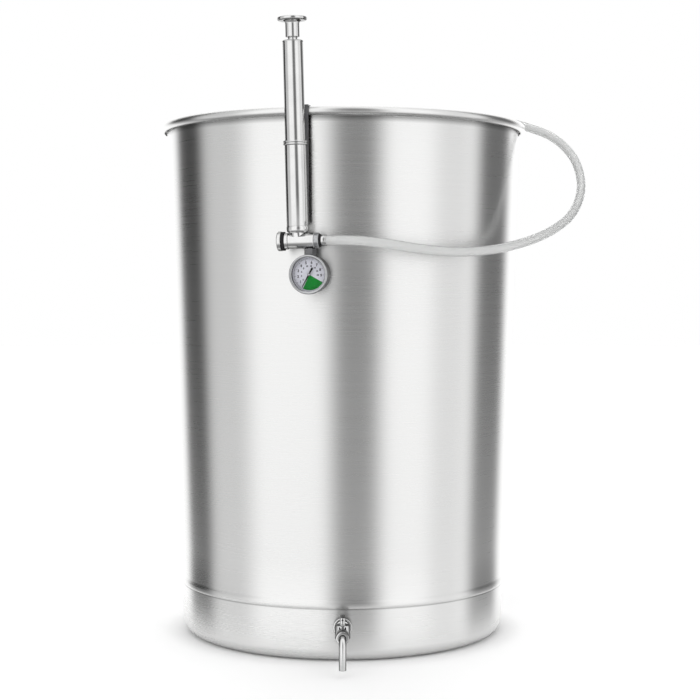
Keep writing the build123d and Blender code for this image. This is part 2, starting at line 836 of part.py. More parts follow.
with BuildPart() as outer_washer:
    with BuildSketch(tap.offset(-sheet / 2)):
        Circle(tap_flange_r - washer_inset)
        Circle(tap_tail_r, mode=Mode.SUBTRACT)
    extrude(amount=tap_washer + sheet / 2)
    add(outer_skin.part, mode=Mode.SUBTRACT)
keep("tap_washer", outer_washer)

nut_face = -sheet - tap_washer - washer_inset
with BuildPart() as inner_washer:
    with BuildSketch(tap.offset(-sheet / 2)):
        Circle(tap_nut_r)
        Circle(tap_tail_r, mode=Mode.SUBTRACT)
    extrude(amount=nut_face + sheet / 2)
    add(tank_bottom.part, mode=Mode.SUBTRACT)
    washer_bits = inner_washer.solids().sort_by(Axis.Y)
    add(washer_bits[-1], mode=Mode.REPLACE)
keep("tap_inner_washer", inner_washer)

with BuildPart() as lock_nut:
    with BuildSketch(tap.offset(nut_face)):
        RegularPolygon(tap_nut_r, 6)
        Circle(tap_tail_r, mode=Mode.SUBTRACT)
    extrude(amount=-tap_nut)
keep("tap_lock_nut", lock_nut)

cock = Plane(origin=tap.from_local_coords((0, 0, cock_out)))
with BuildPart() as tap_body:
    with BuildSketch(tap.offset(-tap_tail)):
        Circle(tap_tail_r)
    extrude(amount=tap_tail + tap_washer)
    with BuildSketch(tap.offset(tap_washer)):
        Circle(tap_flange_r)
    extrude(amount=tap_flange)
    with BuildSketch(tap.offset(tap_washer)):
        Circle(tap_pipe_r)
    extrude(amount=hub_back - tap_washer)
    with BuildSketch(tap.offset(hub_back)):
        Circle(hub_r)
    extrude(amount=hub_front - hub_back)
    chamfer(tap_body.edges().filter_by(GeomType.CIRCLE).sort_by(Axis.Y)[0], hub_edge)
    with BuildSketch(cock.offset(cock_low)):
        Circle(cock_r)
    extrude(amount=cock_high - cock_low)
    with BuildSketch(tap.offset(-tap_tail)):
        Circle(tap_bore_r)
    extrude(amount=tap_tail + hub_front - spout_socket, mode=Mode.SUBTRACT)
    with BuildSketch(tap.offset(hub_front - spout_socket)):
        Circle(spout_r)
    extrude(amount=spout_socket, mode=Mode.SUBTRACT)
    with BuildSketch(cock.offset(cock_low)):
        Circle(plug_r + slip)
    extrude(amount=cock_high - cock_low, mode=Mode.SUBTRACT)
keep("tap_body", tap_body)

with BuildPart() as plug:
    with BuildSketch(cock.offset(cock_low - plug_drop)):
        Circle(plug_r)
    extrude(amount=cock_high - cock_low + plug_drop + plug_rise)
    with BuildSketch(cock.offset(cock_low - plug_drop - plug_tail)):
        Circle(plug_stem_r)
    extrude(amount=plug_tail)
    with BuildSketch(tap.offset(cock_out - 2 * plug_r)):
        Circle(tap_bore_r)
    extrude(amount=4 * plug_r, mode=Mode.SUBTRACT)
keep("tap_plug", plug)

with BuildPart() as plug_nut:
    with BuildSketch(cock.offset(cock_low - plug_drop)):
        RegularPolygon(plug_nut_r, 6)
        Circle(plug_stem_r, mode=Mode.SUBTRACT)
    extrude(amount=-plug_tail)
keep("plug_nut", plug_nut)

key_foot = cock_high + plug_rise
key_eye = Plane(cock.origin + Vector(0, -key_length / 4, key_foot + key_height / 2), z_dir=(1, 0, 0))
with BuildPart() as key:
    with BuildSketch(cock.offset(key_foot)):
        RectangleRounded(key_width, key_length, key_corner)
    extrude(amount=key_height)
    chamfer(key.faces().sort_by(Axis.Z)[-1].edges(), key_edge)
    with BuildSketch(key_eye):
        Circle(key_eye_r)
    extrude(amount=key_width, both=True, mode=Mode.SUBTRACT)
keep("tap_key", key)

spout_top = tap.offset(hub_front - spout_socket).origin
spout_turn = tap.offset(spout_out).origin
spout_tip = Vector(spout_turn.X, spout_turn.Y, spout_end_z)
with BuildPart() as spout:
    with BuildLine() as spout_path:
        FilletPolyline(spout_top, spout_turn, spout_tip, radius=spout_bend)
    with BuildSketch(tap.offset(hub_front - spout_socket)):
        Circle(spout_r)
        Circle(spout_r - sheet, mode=Mode.SUBTRACT)
    sweep(path=spout_path.line)
keep("tap_spout", spout)

# ---- Hose ----
hose_start = across.offset(union_right).origin
hose_second = across.offset(union_right + hose_lead).origin
join = Vector(192, 85.5, 590)
hose_end = nozzle_out * nozzle_r + Vector(0, 0, hose_end_z)
outside_points = [
    hose_start,
    hose_second,
    (39, -228, 436),
    (81, -216, 429),
    (121, -192, 427),
    (155, -165, 430),
    (184, -137, 436),
    (212, -105, 445),
    (237, -74, 457),
    (260, -40, 474),
    (276, -2, 504),
    (275, 31, 537),
    (262, 54, 560),
    (246, 70, 574),
    (228, 81, 582),
    (207, 86, 589),
    join,
]
inside_points = [
    join,
    (177, 85, 591),
    (151, 77, 581),
    (132, 72, 560),
    (124, 69, 529),
    (126, 67, 484),
    (131, 65, 410),
    (136.5, 63, 300),
    (136, 62, 200),
    hose_end + Vector(0, 0, hose_drop),
    hose_end,
]


def bend_radii(points, before=None, after=None):
    """The radius of each corner: 0.45 of its shorter run over the tangent of half its turn."""
    corners = [Vector(p) for p in points]
    radii = []
    for k in range(1, len(corners) - 1):
        run_in = corners[k] - corners[k - 1]
        run_out = corners[k + 1] - corners[k]
        short = min(
            before if before and k == 1 else run_in.length,
            after if after and k == len(corners) - 2 else run_out.length,
        )
        half = math.radians(run_in.get_angle(run_out)) / 2
        radii.append(0.45 * short / math.tan(half))
    return radii


crossing = (Vector(outside_points[-2]) - Vector(inside_points[1])).length
hose_length = 0.0
for name, points, ends in (
    ("hose_outer", outside_points, (None, crossing)),
    ("hose_inner", inside_points, (crossing, None)),
):
    radii = bend_radii(points, *ends)
    with BuildPart() as stretch:
        with BuildLine() as route:
            FilletPolyline(*points, radius=radii)
        centre = route.wires()[0]
        with BuildSketch(Plane(centre @ 0, z_dir=centre % 0)):
            Circle(hose_r)
            Circle(hose_bore_r, mode=Mode.SUBTRACT)
        sweep(path=centre)
    keep(name, stretch)
    swept = math.pi * (hose_r**2 - hose_bore_r**2) * centre.length
    hose_length += centre.length
    print(name, "length", round(centre.length, 1), "smallest radius", round(min(radii), 1))
    print("  radii", [round(r) for r in radii])
    print("  volume over section times length", round(stretch.part.volume / swept, 4))
print("hose length", round(hose_length, 1))

os.makedirs("parts", exist_ok=True)
for name, piece in pieces.items():
    export_step(piece, f"parts/{name}.step")
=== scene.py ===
"""Variable capacity brewing tank: a tapered steel tank with a floating lid, a hand pump hooked over
its rim, the pump's gauge and hose, and a small tap at the foot. Metres, +Z up, the tap towards -Y."""

import json
import math

import bpy
from mathutils import Matrix, Vector

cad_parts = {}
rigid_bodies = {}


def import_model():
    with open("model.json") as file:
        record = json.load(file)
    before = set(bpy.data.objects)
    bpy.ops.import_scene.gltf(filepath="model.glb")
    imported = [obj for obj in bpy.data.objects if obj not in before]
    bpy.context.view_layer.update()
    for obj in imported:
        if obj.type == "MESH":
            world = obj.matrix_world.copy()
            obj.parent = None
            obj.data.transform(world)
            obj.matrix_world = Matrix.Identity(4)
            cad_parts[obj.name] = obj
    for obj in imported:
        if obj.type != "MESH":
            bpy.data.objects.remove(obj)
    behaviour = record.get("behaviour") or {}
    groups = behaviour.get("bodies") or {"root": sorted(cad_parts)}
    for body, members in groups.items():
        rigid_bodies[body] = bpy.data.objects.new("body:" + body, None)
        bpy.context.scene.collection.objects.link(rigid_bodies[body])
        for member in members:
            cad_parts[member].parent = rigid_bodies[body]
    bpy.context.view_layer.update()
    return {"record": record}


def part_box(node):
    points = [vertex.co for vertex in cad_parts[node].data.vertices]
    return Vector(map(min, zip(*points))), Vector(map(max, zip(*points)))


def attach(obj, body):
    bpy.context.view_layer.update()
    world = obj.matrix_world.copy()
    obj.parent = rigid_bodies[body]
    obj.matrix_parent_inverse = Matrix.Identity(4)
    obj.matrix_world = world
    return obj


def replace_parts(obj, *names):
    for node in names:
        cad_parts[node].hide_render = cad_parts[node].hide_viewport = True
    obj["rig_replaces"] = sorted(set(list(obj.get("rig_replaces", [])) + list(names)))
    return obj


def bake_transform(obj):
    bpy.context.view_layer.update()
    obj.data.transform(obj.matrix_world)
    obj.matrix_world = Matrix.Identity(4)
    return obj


bl_info = {
    "name": "Brewing Tank",
    "version": (1, 0, 0),
    "blender": (4, 5, 0),
    "location": "View3D > Sidebar > Brewing Tank",
    "description": "Builds a variable capacity brewing tank with its pump, gauge, hose, lid and tap",
    "category": "Add Mesh",
}

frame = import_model()
joints = {joint["name"]: joint for joint in frame["record"]["behaviour"]["joints"]}
mm = 0.001

# ---- Places taken from the frame ----
pump_up = Vector(joints["plunger_slide"]["axis"]).normalized()
pump_right = -Vector(joints["bleed_travel"]["axis"]).normalized()
pump_in = pump_up.cross(pump_right)
BLEED_FACE = -16.5 * mm  # the bleed knob's pivot, left of the barrel's axis
pump_origin = Vector(joints["bleed_turn"]["pos_m"]) - pump_right * BLEED_FACE
gauge_centre = Vector(joints["needle_swing"]["pos_m"])
tap_pivot = Vector(joints["tap_turn"]["pos_m"])
rim_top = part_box("tank_wall")[1][2]
lap_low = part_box("tank_wall")[0][2]
lap_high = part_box("tank_bottom")[1][2]
lid_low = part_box("lid_channel")[0][2] - 1 * mm


def axes(origin, x, y, z):
    """A matrix that carries a piece modelled about the world's origin to its place."""
    matrix = Matrix((x, y, z)).transposed().to_4x4()
    matrix.translation = origin
    return matrix


PUMP = axes(pump_origin, pump_right, pump_in, pump_up)
ACROSS = axes(pump_origin, pump_in, pump_up, pump_right)
GAUGE = axes(gauge_centre, pump_right, pump_up, -pump_in)
TAP_OUT = 22.0 * mm  # plug axis, out from the wall
TAP = axes(tap_pivot + Vector((0, TAP_OUT, 0)), Vector((1, 0, 0)), Vector((0, 0, 1)), Vector((0, -1, 0)))
COCK = Matrix.Translation(tap_pivot)
UPRIGHT = Matrix.Identity(4)  # for pieces turned where they stand


# ---- Shader maths ----
class Value:
    """An output socket that can be written into maths, which adds Math nodes."""

    def __init__(self, tree, socket):
        self.tree = tree
        self.socket = socket

    def maths(self, operation, *terms):
        node = self.tree.nodes.new("ShaderNodeMath")
        node.operation = operation
        for slot, term in zip(node.inputs, terms):
            plug_in(self.tree, slot, term)
        return Value(self.tree, node.outputs[0])

    def __add__(self, other):
        return self.maths("ADD", self, other)

    __radd__ = __add__

    def __sub__(self, other):
        return self.maths("SUBTRACT", self, other)

    def __rsub__(self, other):
        return self.maths("SUBTRACT", other, self)

    def __mul__(self, other):
        return self.maths("MULTIPLY", self, other)

    __rmul__ = __mul__

    def __truediv__(self, other):
        return self.maths("DIVIDE", self, other)

    def size(self):
        """The value without its sign."""
        return self.maths("ABSOLUTE", self)

    def root(self):
        return self.maths("SQRT", self)

    def clamped(self):
        return self.maths("MINIMUM", self.maths("MAXIMUM", self, 0.0), 1.0)


def plug_in(tree, slot, term):
    """Link a value to a socket, or set the socket to a number."""
    if isinstance(term, Value):
        tree.links.new(term.socket, slot)
    else:
        slot.default_value = term


class Finish:
    """A material, its Principled shader and one method that adds any other node."""

    def __init__(self, name, **constants):
        self.material = bpy.data.materials.new(name)
        self.material.use_nodes = True
        self.tree = self.material.node_tree
        self.shader = self.tree.nodes["Principled BSDF"]
        for socket, value in constants.items():
            self.shader.inputs[socket.replace("_", " ")].default_value = value

    def node(self, kind, settings=None, sockets=None, out=0):
        node = self.tree.nodes.new("ShaderNode" + kind)
        for key, value in (settings or {}).items():
            if key == "stops":
                set_stops(node.color_ramp, value)
            else:
                setattr(node, key, value)
        for key, value in (sockets or {}).items():
            plug_in(self.tree, node.inputs[key], value)
        return Value(self.tree, node.outputs[out])

    def feed(self, socket, value):
        plug_in(self.tree, self.shader.inputs[socket], value)

    def place(self):
        return self.node("TexCoord", out="Object")

    def split(self, vector):
        node = self.tree.nodes.new("ShaderNodeSeparateXYZ")
        plug_in(self.tree, node.inputs[0], vector)
        return [Value(self.tree, output) for output in node.outputs]

    def noise(self, vector, scale, detail=3.0, rough=0.5):
        sockets = {"Vector": vector, "Scale": scale, "Detail": detail, "Roughness": rough}
        return self.node("TexNoise", {}, sockets)

    def mixed(self, amount, first, second):
        sockets = {0: amount, 6: first, 7: second}
        return self.node("Mix", {"data_type": "RGBA"}, sockets, out=2)

    def edge(self, start, width):
        """0 where the surface faces out, rising to 1 where it turns away: the mask for painted shade along
        a part's rims.
        """
        facing = self.node("LayerWeight", {}, {"Blend": 0.5}, out="Facing")
        return ((facing - start) / width).clamped()

    def bump(self, height, distance, strength=1.0):
        sockets = {"Height": height, "Distance": distance, "Strength": strength}
        self.feed("Normal", self.node("Bump", {}, sockets))


def set_stops(ramp, stops):
    """Set a ramp's stops, as (place, brightness) or (place, colour) pairs."""
    while len(ramp.elements) > 1:
        ramp.elements.remove(ramp.elements[-1])
    for number, (place, colour) in enumerate(stops):
        stop = ramp.elements[0] if number == 0 else ramp.elements.new(place)
        stop.position = place
        stop.color = colour if isinstance(colour, tuple) else (colour, colour, colour, 1.0)


# ---- Materials ----
def satin_steel():
    """Rolled stainless sheet, ground round the tank, so its fine lines run level, with painted shade under
    the lap and under the rim's curl.
    """
    finish = Finish("satin_steel", Metallic=1.0, Anisotropic=0.75, Anisotropic_Rotation=0.25)
    x, y, z = finish.split(finish.place())
    reach = (x * x + y * y + 1e-6).root()
    lines = finish.node("CombineXYZ", {}, {0: x / reach * 1.6, 1: y / reach * 1.6, 2: z * 520.0})
    grain = finish.noise(lines, 1.0, 4.0, 0.65)
    fine = finish.node("CombineXYZ", {}, {0: x / reach * 5.0, 1: y / reach * 5.0, 2: z * 1900.0})
    scratch = finish.noise(fine, 1.0, 2.0, 0.6)
    cloud = finish.noise(finish.place(), 5.0, 2.0)
    shade = (grain * 0.5 + scratch * 0.3 + cloud * 0.2).clamped()
    unshaded_steel = finish.mixed(shade, (0.70, 0.70, 0.695, 1.0), (0.80, 0.80, 0.795, 1.0))
    lap_line, lap_half = lap_low - 0.8 * mm, 1.3 * mm  # the painted shade line under the lap and its half width
    below_lap = (1.0 - (z - lap_line).size() / lap_half).clamped()
    # Painted shade: a dark band under the rim's curl, fading over a few mm down the wall
    curl_foot, curl_line, curl_fade = rim_top - 8.8 * mm, 0.8 * mm, 5.5 * mm
    under_curl = ((curl_foot - z) / (1.2 * mm)).clamped()
    under_curl = under_curl * (1.0 - (curl_foot - curl_line - z) / curl_fade).clamped()
    # Painted shade under the lap and under the curl takes the base colour towards near black
    painted_shade = (below_lap * 0.5 + under_curl * 0.62).clamped()
    finish.feed("Base Color", finish.mixed(painted_shade, unshaded_steel, (0.05, 0.05, 0.05, 1.0)))
    finish.feed("Roughness", 0.225 + grain * 0.07 + cloud * 0.04)
    finish.bump(grain * 0.6 + scratch * 0.4, 0.00003, 0.22)
    return finish.material


def polished_steel(name="polished_steel", turn=0.46, dark=0.09):
    """Turned and buffed stainless, with faint rings and soft smears, and painted shade where it turns away
    from view.
    """
    finish = Finish(name, Metallic=1.0)
    place = finish.place()
    smear = finish.noise(place, 60.0, 3.0)
    polish = finish.noise(place, 900.0, 2.0)
    bright = finish.mixed(smear, (0.60, 0.60, 0.60, 1.0), (0.76, 0.76, 0.755, 1.0))
    # Painted shade: the base colour darkens to the dark grey where the surface turns away from view
    finish.feed("Base Color", finish.mixed(finish.edge(turn, 0.34), bright, (dark, dark, dark, 1.0)))
    finish.feed("Roughness", 0.08 + smear * 0.07)
    finish.bump(polish, 0.00002, 0.25)
    return finish.material


def gauge_steel():
    """The gauge's drawn case, a darker brushed steel, with painted shade where it turns away from view."""
    finish = Finish("gauge_steel", Metallic=1.0)
    place = finish.place()
    brush = finish.noise(place, 420.0, 4.0, 0.7)
    bright = finish.mixed(brush, (0.34, 0.345, 0.355, 1.0), (0.56, 0.565, 0.575, 1.0))
    # Painted shade: the base colour darkens to near black where the case turns away from view
    finish.feed("Base Color", finish.mixed(finish.edge(0.42, 0.3), bright, (0.05, 0.05, 0.052, 1.0)))
    finish.feed("Roughness", 0.16 + brush * 0.14)
    finish.bump(brush, 0.00003, 0.4)
    return finish.material


def strap_steel():
    """The clip's thin spring strip, coloured dark as painted shade."""
    finish = Finish("strap_steel", Metallic=1.0)
    place = finish.place()
    haze = finish.noise(place, 120.0, 3.0)
    finish.feed("Base Color", finish.mixed(haze, (0.10, 0.10, 0.105, 1.0), (0.20, 0.20, 0.205, 1.0)))
    finish.feed("Roughness", 0.26 + haze * 0.12)
    finish.bump(haze, 0.00001, 0.2)
    return finish.material


def brass():
    """Plain machined brass, slightly tarnished."""
    finish = Finish("brass", Metallic=1.0)
    tarnish = finish.noise(finish.place(), 140.0, 3.0)
    finish.feed("Base Color", finish.mixed(tarnish, (0.62, 0.45, 0.18, 1.0), (0.82, 0.66, 0.32, 1.0)))
    finish.feed("Roughness", 0.22 + tarnish * 0.2)
    finish.bump(tarnish, 0.00003, 0.4)
    return finish.material


def black_rubber():
    """Black nitrile with a fine moulded grain."""
    finish = Finish("black_rubber", Specular_IOR_Level=0.15)
    grain = finish.noise(finish.place(), 1500.0, 2.0)
    dust = finish.noise(finish.place(), 90.0, 3.0)
    finish.feed("Base Color", finish.mixed(dust, (0.012, 0.012, 0.013, 1.0), (0.03, 0.03, 0.031, 1.0)))
    finish.feed("Roughness", 0.42 + grain * 0.2)
    finish.bump(grain, 0.00005, 0.4)
    return finish.material


def gasket_rubber():
    """White food grade rubber, matt, with faint stains at random."""
    finish = Finish("gasket_rubber", Specular_IOR_Level=0.45)
    place = finish.place()
    pores = finish.noise(place, 900.0, 3.0)
    stain = finish.noise(place, 22.0, 4.0, 0.6)
    finish.feed("Base Color", finish.mixed(stain, (0.60, 0.60, 0.58, 1.0), (0.78, 0.78, 0.76, 1.0)))
    finish.feed("Roughness", 0.5 + pores * 0.2)
    finish.bump(pores, 0.00006, 0.5)
    return finish.material


def clear_hose():
    """Soft clear PVC, a little milky, with faint drawing lines, and painted grey shade along its edges."""
    finish = Finish("clear_hose", Transmission_Weight=0.5, IOR=1.3, Specular_IOR_Level=0.7)
    place = finish.place()
    milk = finish.noise(place, 35.0, 3.0)
    draw = finish.noise(place, 240.0, 2.0)
    clear = finish.mixed(milk, (0.90, 0.905, 0.90, 1.0), (0.97, 0.975, 0.97, 1.0))
    # Painted shade: the base colour greys where the hose turns away from view
    finish.feed("Base Color", finish.mixed(finish.edge(0.4, 0.5), clear, (0.42, 0.425, 0.425, 1.0)))
    finish.feed("Roughness", 0.07 + milk * 0.06 + draw * 0.03)
    return finish.material


def gauge_glass():
    """The gauge's flat window."""
    finish = Finish("gauge_glass", Alpha=0.05, IOR=1.45)
    smear = finish.noise(finish.place(), 70.0, 2.0)
    finish.feed("Base Color", finish.mixed(smear, (0.02, 0.022, 0.024, 1.0), (0.04, 0.042, 0.044, 1.0)))
    finish.feed("Roughness", 0.02 + smear * 0.03)
    return finish.material


def painted(name, low, high, rough):
    """Printed or painted colour with a slight fleck and an uneven gloss."""
    finish = Finish(name, Specular_IOR_Level=0.12)
    fleck = finish.noise(finish.place(), 800.0, 2.0)
    finish.feed("Base Color", finish.mixed(fleck, (*low, 1.0), (*high, 1.0)))
    finish.feed("Roughness", rough + fleck * 0.12)
    finish.bump(fleck, 0.00001, 0.3)
    return finish.material


finishes = {}


def finish_for(slot):
    """The material of one of the record's slots, made once."""
    makers = {
        "satin_steel": satin_steel,
        "polished_steel": polished_steel,
        "gauge_steel": gauge_steel,
        "gauge_glass": gauge_glass,
        "gauge_dial": lambda: painted("gauge_dial", (0.80, 0.80, 0.89), (0.88, 0.88, 0.95), 0.5),
        "needle_black": lambda: painted("needle_black", (0.008, 0.008, 0.008), (0.02, 0.02, 0.02), 0.35),
        "dial_green": lambda: painted("dial_green", (0.006, 0.24, 0.025), (0.014, 0.34, 0.05), 0.45),
        "dial_ink": lambda: painted("dial_ink", (0.015, 0.015, 0.02), (0.04, 0.04, 0.05), 0.4),
        # tap_steel: polished steel with a stronger painted shade where it turns away from view
        "tap_steel": lambda: polished_steel("tap_steel", 0.24, 0.02),
        "strap_steel": strap_steel,
        "brass": brass,
        "black_rubber": black_rubber,
        "gasket_rubber": gasket_rubber,
        "clear_hose": clear_hose,
        "white_plastic": lambda: painted("white_plastic", (0.74, 0.74, 0.71), (0.82, 0.82, 0.79), 0.4),
    }
    if slot not in finishes:
        finishes[slot] = makers[slot]()
    return finishes[slot]


# ---- Modelling ----
def clear_selection():
    if bpy.context.object and bpy.context.object.mode != "OBJECT":
        bpy.ops.object.mode_set(mode="OBJECT")
    bpy.ops.object.select_all(action="DESELECT")


def select_only(piece):
    clear_selection()
    piece.select_set(True)
    bpy.context.view_layer.objects.active = piece


def arc(centre, radius, start, stop, steps):
    """Points of an arc in a section, from (radius, height) centre, in degrees."""
    points = []
    for step in range(steps + 1):
        turn = math.radians(start + (stop - start) * step / steps)
        points.append((centre[0] + radius * math.cos(turn), centre[1] + radius * math.sin(turn)))
    return points


def turned(name, section, segments=72, loop=False, soft=35.0, edge=0.0):
    """A lathe-turned piece: a circle extruded from point to point of a (radius, height) section in mm."""
    clear_selection()
    start_pole = section[0][0] == 0
    rings = section[1:] if start_pole else list(section)
    if loop:
        rings = rings + [rings[0]]
    first_radius, first_height = rings[0]
    bpy.ops.mesh.primitive_circle_add(vertices=segments, radius=first_radius * mm, location=(0, 0, 0))
    piece = bpy.context.object
    piece.name = name
    bpy.ops.object.mode_set(mode="EDIT")
    bpy.ops.mesh.select_mode(type="VERT")
    bpy.ops.mesh.select_all(action="SELECT")
    bpy.ops.transform.translate(value=(0, 0, first_height * mm))
    for (radius, height), (next_radius, next_height) in zip(rings, rings[1:]):
        move = {"value": (0, 0, (next_height - height) * mm)}
        bpy.ops.mesh.extrude_region_move(TRANSFORM_OT_translate=move)
        if next_radius == 0:
            bpy.ops.mesh.merge(type="CENTER")
        else:
            grow = next_radius / radius
            bpy.ops.transform.resize(value=(grow, grow, 1), center_override=(0, 0, next_height * mm))
    if start_pole:
        bpy.ops.mesh.select_all(action="DESELECT")
        bpy.ops.mesh.select_non_manifold(
            use_wire=False, use_multi_face=False, use_non_contiguous=False, use_verts=False
        )
        move = {"value": (0, 0, (section[0][1] - first_height) * mm)}
        bpy.ops.mesh.extrude_region_move(TRANSFORM_OT_translate=move)
        bpy.ops.mesh.merge(type="CENTER")
    bpy.ops.mesh.select_all(action="SELECT")
    bpy.ops.mesh.remove_doubles(threshold=1e-6)
    leave_edit()
    return smoothed(piece, soft, edge)


def edit_all():
    """Go into edit mode with the whole mesh selected."""
    bpy.ops.object.mode_set(mode="EDIT")
    bpy.ops.mesh.select_all(action="SELECT")


def leave_edit():
    """Turn every face outwards and leave edit mode."""
    bpy.ops.mesh.select_all(action="SELECT")
    bpy.ops.mesh.normals_make_consistent(inside=False)
    bpy.ops.object.mode_set(mode="OBJECT")


def smoothed(piece, soft=35.0, edge=0.0):
    """Break a piece's sharp edges by a width in mm, and shade it smooth between them."""
    select_only(piece)
    if edge:
        bevel = piece.modifiers.new("edges", "BEVEL")
        bevel.width = edge * mm
        bevel.segments = 2
        bevel.limit_method = "ANGLE"
        bevel.angle_limit = math.radians(soft)
        bpy.ops.object.modifier_apply(modifier="edges")
    bpy.ops.object.shade_smooth_by_angle(angle=math.radians(soft))
    return piece


def placed(piece, matrix):
    """Carry a piece to its place and settle the place into its mesh."""
    select_only(piece)
    piece.matrix_world = matrix @ piece.matrix_world
    bpy.ops.object.transform_apply(location=True, rotation=True, scale=True)
    if matrix.determinant() < 0:
        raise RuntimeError(f"{piece.name} was mirrored")
    return piece


def plate(name, outline, depth, edge=0.0, soft=35.0):
    """A flat piece: an outline of (x, y) points in mm, pulled out along +Z by a depth in mm."""
    clear_selection()
    bpy.ops.mesh.primitive_circle_add(
        vertices=len(outline), radius=1 * mm, fill_type="NGON", location=(0, 0, 0)
    )
    piece = bpy.context.object
    piece.name = name
    for vertex, (x, y) in zip(piece.data.vertices, outline):
        vertex.co = (x * mm, y * mm, 0)
    edit_all()
    bpy.ops.mesh.extrude_region_move(TRANSFORM_OT_translate={"value": (0, 0, depth * mm)})
    leave_edit()
    return smoothed(piece, soft, edge)


def joined(name, parts):
    """Several pieces made one mesh."""
    clear_selection()
    for part in parts:
        part.select_set(True)
    bpy.context.view_layer.objects.active = parts[0]
    bpy.ops.object.join()
    parts[0].name = name
    return parts[0]


def fitted(piece, body, slot, *nodes, finish=None):
    """Give a finished piece its body, its material and the CAD nodes that it stands for."""
    if body:
        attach(piece, body)
    piece.data.materials.clear()
    piece.data.materials.append(finish_for(finish or slot))
    if nodes:
        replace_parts(piece, *nodes)
    return piece


def lathed(name, place, body, slot, node, section, **how):
    """A turned piece, carried to its place and fitted, that stands for one CAD node."""
    return fitted(placed(turned(name, section, **how), place), body, slot, node)


def combined(base, other, operation):
    """A solid united with another, or with the other taken out of it, with clean shading."""
    select_only(base)
    boolean = base.modifiers.new("boolean", "BOOLEAN")
    boolean.operation = operation
    boolean.solver = "EXACT"
    boolean.object = other
    bpy.ops.object.modifier_apply(modifier="boolean")
    bpy.data.objects.remove(other)
    return smoothed(base, 30)


def hollowed(piece, wall):
    """Give a surface a wall, in mm, on its inner side."""
    shell = piece.modifiers.new("wall", "SOLIDIFY")
    shell.thickness = wall * mm
    shell.offset = -1.0
    bpy.ops.object.modifier_apply(modifier="wall")


def copies_around(name, bump, count, radius, rows):
    """Copies of a small bump set round the Z axis in rows, made one mesh."""
    parts = []
    for row, height in enumerate(rows):
        for number in range(count):
            copy = bump.copy()
            copy.data = bump.data.copy()
            bpy.context.scene.collection.objects.link(copy)
            turn = math.tau * (number + 0.5 * (row % 2)) / count
            spin = Matrix.Rotation(turn, 4, "Z")
            parts.append(placed(copy, spin @ Matrix.Translation((radius * mm, 0, height * mm))))
    bpy.data.objects.remove(bump)
    return joined(name, parts)


# ---- Sizes that a user would change ----
def setting(name, description, default):
    return bpy.props.FloatProperty(name=name, description=description, default=default)


class TankSizes(bpy.types.PropertyGroup):
    """The tank's own sizes, in millimetres."""

    foot_radius: setting("Foot radius", "Outside of the wall at the floor", 183.1)
    brim_radius: setting("Brim radius", "Outside of the wall at the rim", 200.4)
    sheet: setting("Sheet", "Thickness of the steel sheet", 1.0)
    corner: setting("Corner", "Turn between the base and the skirt", 14.0)
    curl: setting("Curl", "Radius of the rolled rim", 4.6)
    lap_rise: setting("Lap blend", "Height over which the wall steps in", 2.5)
    seam_width: setting("Seam width", "Width of the ground weld at the back", 3.2)


class PumpSizes(bpy.types.PropertyGroup):
    """Sizes of the pump, its gauge and its hose, in millimetres."""

    barrel: setting("Barrel radius", "Outside of the pump's barrel", 10.3)
    sleeve: setting("Sleeve radius", "Outside of the lower sleeve", 11.0)
    knob: setting("Knob radius", "Radius of the plunger's knob", 15.0)
    gauge: setting("Gauge radius", "Outside of the gauge's bezel", 20.0)
    needle_turn: bpy.props.FloatProperty(
        name="Needle at rest", description="Clockwise from the top", default=math.radians(210),
        subtype="ANGLE",
    )
    hose: setting("Hose radius", "Outside of the hose", 5.0)
    hose_wall: setting("Hose wall", "Wall of the hose", 1.75)


class LidSizes(bpy.types.PropertyGroup):
    """Sizes of the floating lid, in millimetres."""

    height: setting("Channel height", "Height of the gasket channel", 32.0)
    gap: setting("Gap", "Between the lid's steel and the wall", 6.75)
    depth: setting("Channel depth", "Gasket channel, in from the edge", 18.0)
    rise: setting("Dish rise", "Height of the dish at its middle", 12.0)


class StageLook(bpy.types.PropertyGroup):
    """The floor and the light."""

    floor: bpy.props.FloatVectorProperty(
        name="Floor", description="Colour of the floor", size=3, default=(0.97, 0.97, 0.97), subtype="COLOR"
    )
    glow: setting("Room brightness", "Strength of the white room", 1.6)


def tank_sizes():
    return bpy.context.scene.brewing_tank


def wall_radius(height):
    """Outside radius of the tapered wall at a height, in mm."""
    sizes = tank_sizes()
    top = rim_top / mm
    return sizes.foot_radius + (sizes.brim_radius - sizes.foot_radius) * height / top


# ---- Stage ----
def floor_material(colour):
    """Pale paper. Away from the tank it doesn't show in the steel, as if the paper ended there."""
    finish = Finish("floor_paper", Emission_Strength=0.2)
    place = finish.place()
    mottle = finish.noise(place, 3.0, 2.0)
    high = (*colour, 1.0)
    low = (*[channel * 0.985 for channel in colour], 1.0)
    finish.feed("Base Color", finish.mixed(mottle, low, high))
    finish.feed("Roughness", 0.75 + mottle * 0.1)
    x, y = finish.split(place)[:2]
    reach = (x * x + y * y).root()
    shadow_edge, shadow_fade = 0.178, 0.03  # the paper glows a little, but not close round the foot, where the missing glow is a painted contact shadow
    outside = ((reach - shadow_edge) / shadow_fade).clamped()
    finish.feed("Emission Color", finish.mixed(outside, (0.0, 0.0, 0.0, 1.0), high))
    paper_edge, paper_fade = 0.2, 0.12  # as far as the steel mirrors the paper
    away = ((reach - paper_edge) / paper_fade).clamped()
    mirrored = finish.node("LightPath", out="Is Glossy Ray")
    clear = finish.tree.nodes.new("ShaderNodeBsdfTransparent")
    mix = finish.tree.nodes.new("ShaderNodeMixShader")
    plug_in(finish.tree, mix.inputs[0], mirrored * away)
    finish.tree.links.new(finish.shader.outputs[0], mix.inputs[1])
    finish.tree.links.new(clear.outputs[0], mix.inputs[2])
    finish.tree.links.new(mix.outputs[0], finish.tree.nodes["Material Output"].inputs["Surface"])
    return finish.material


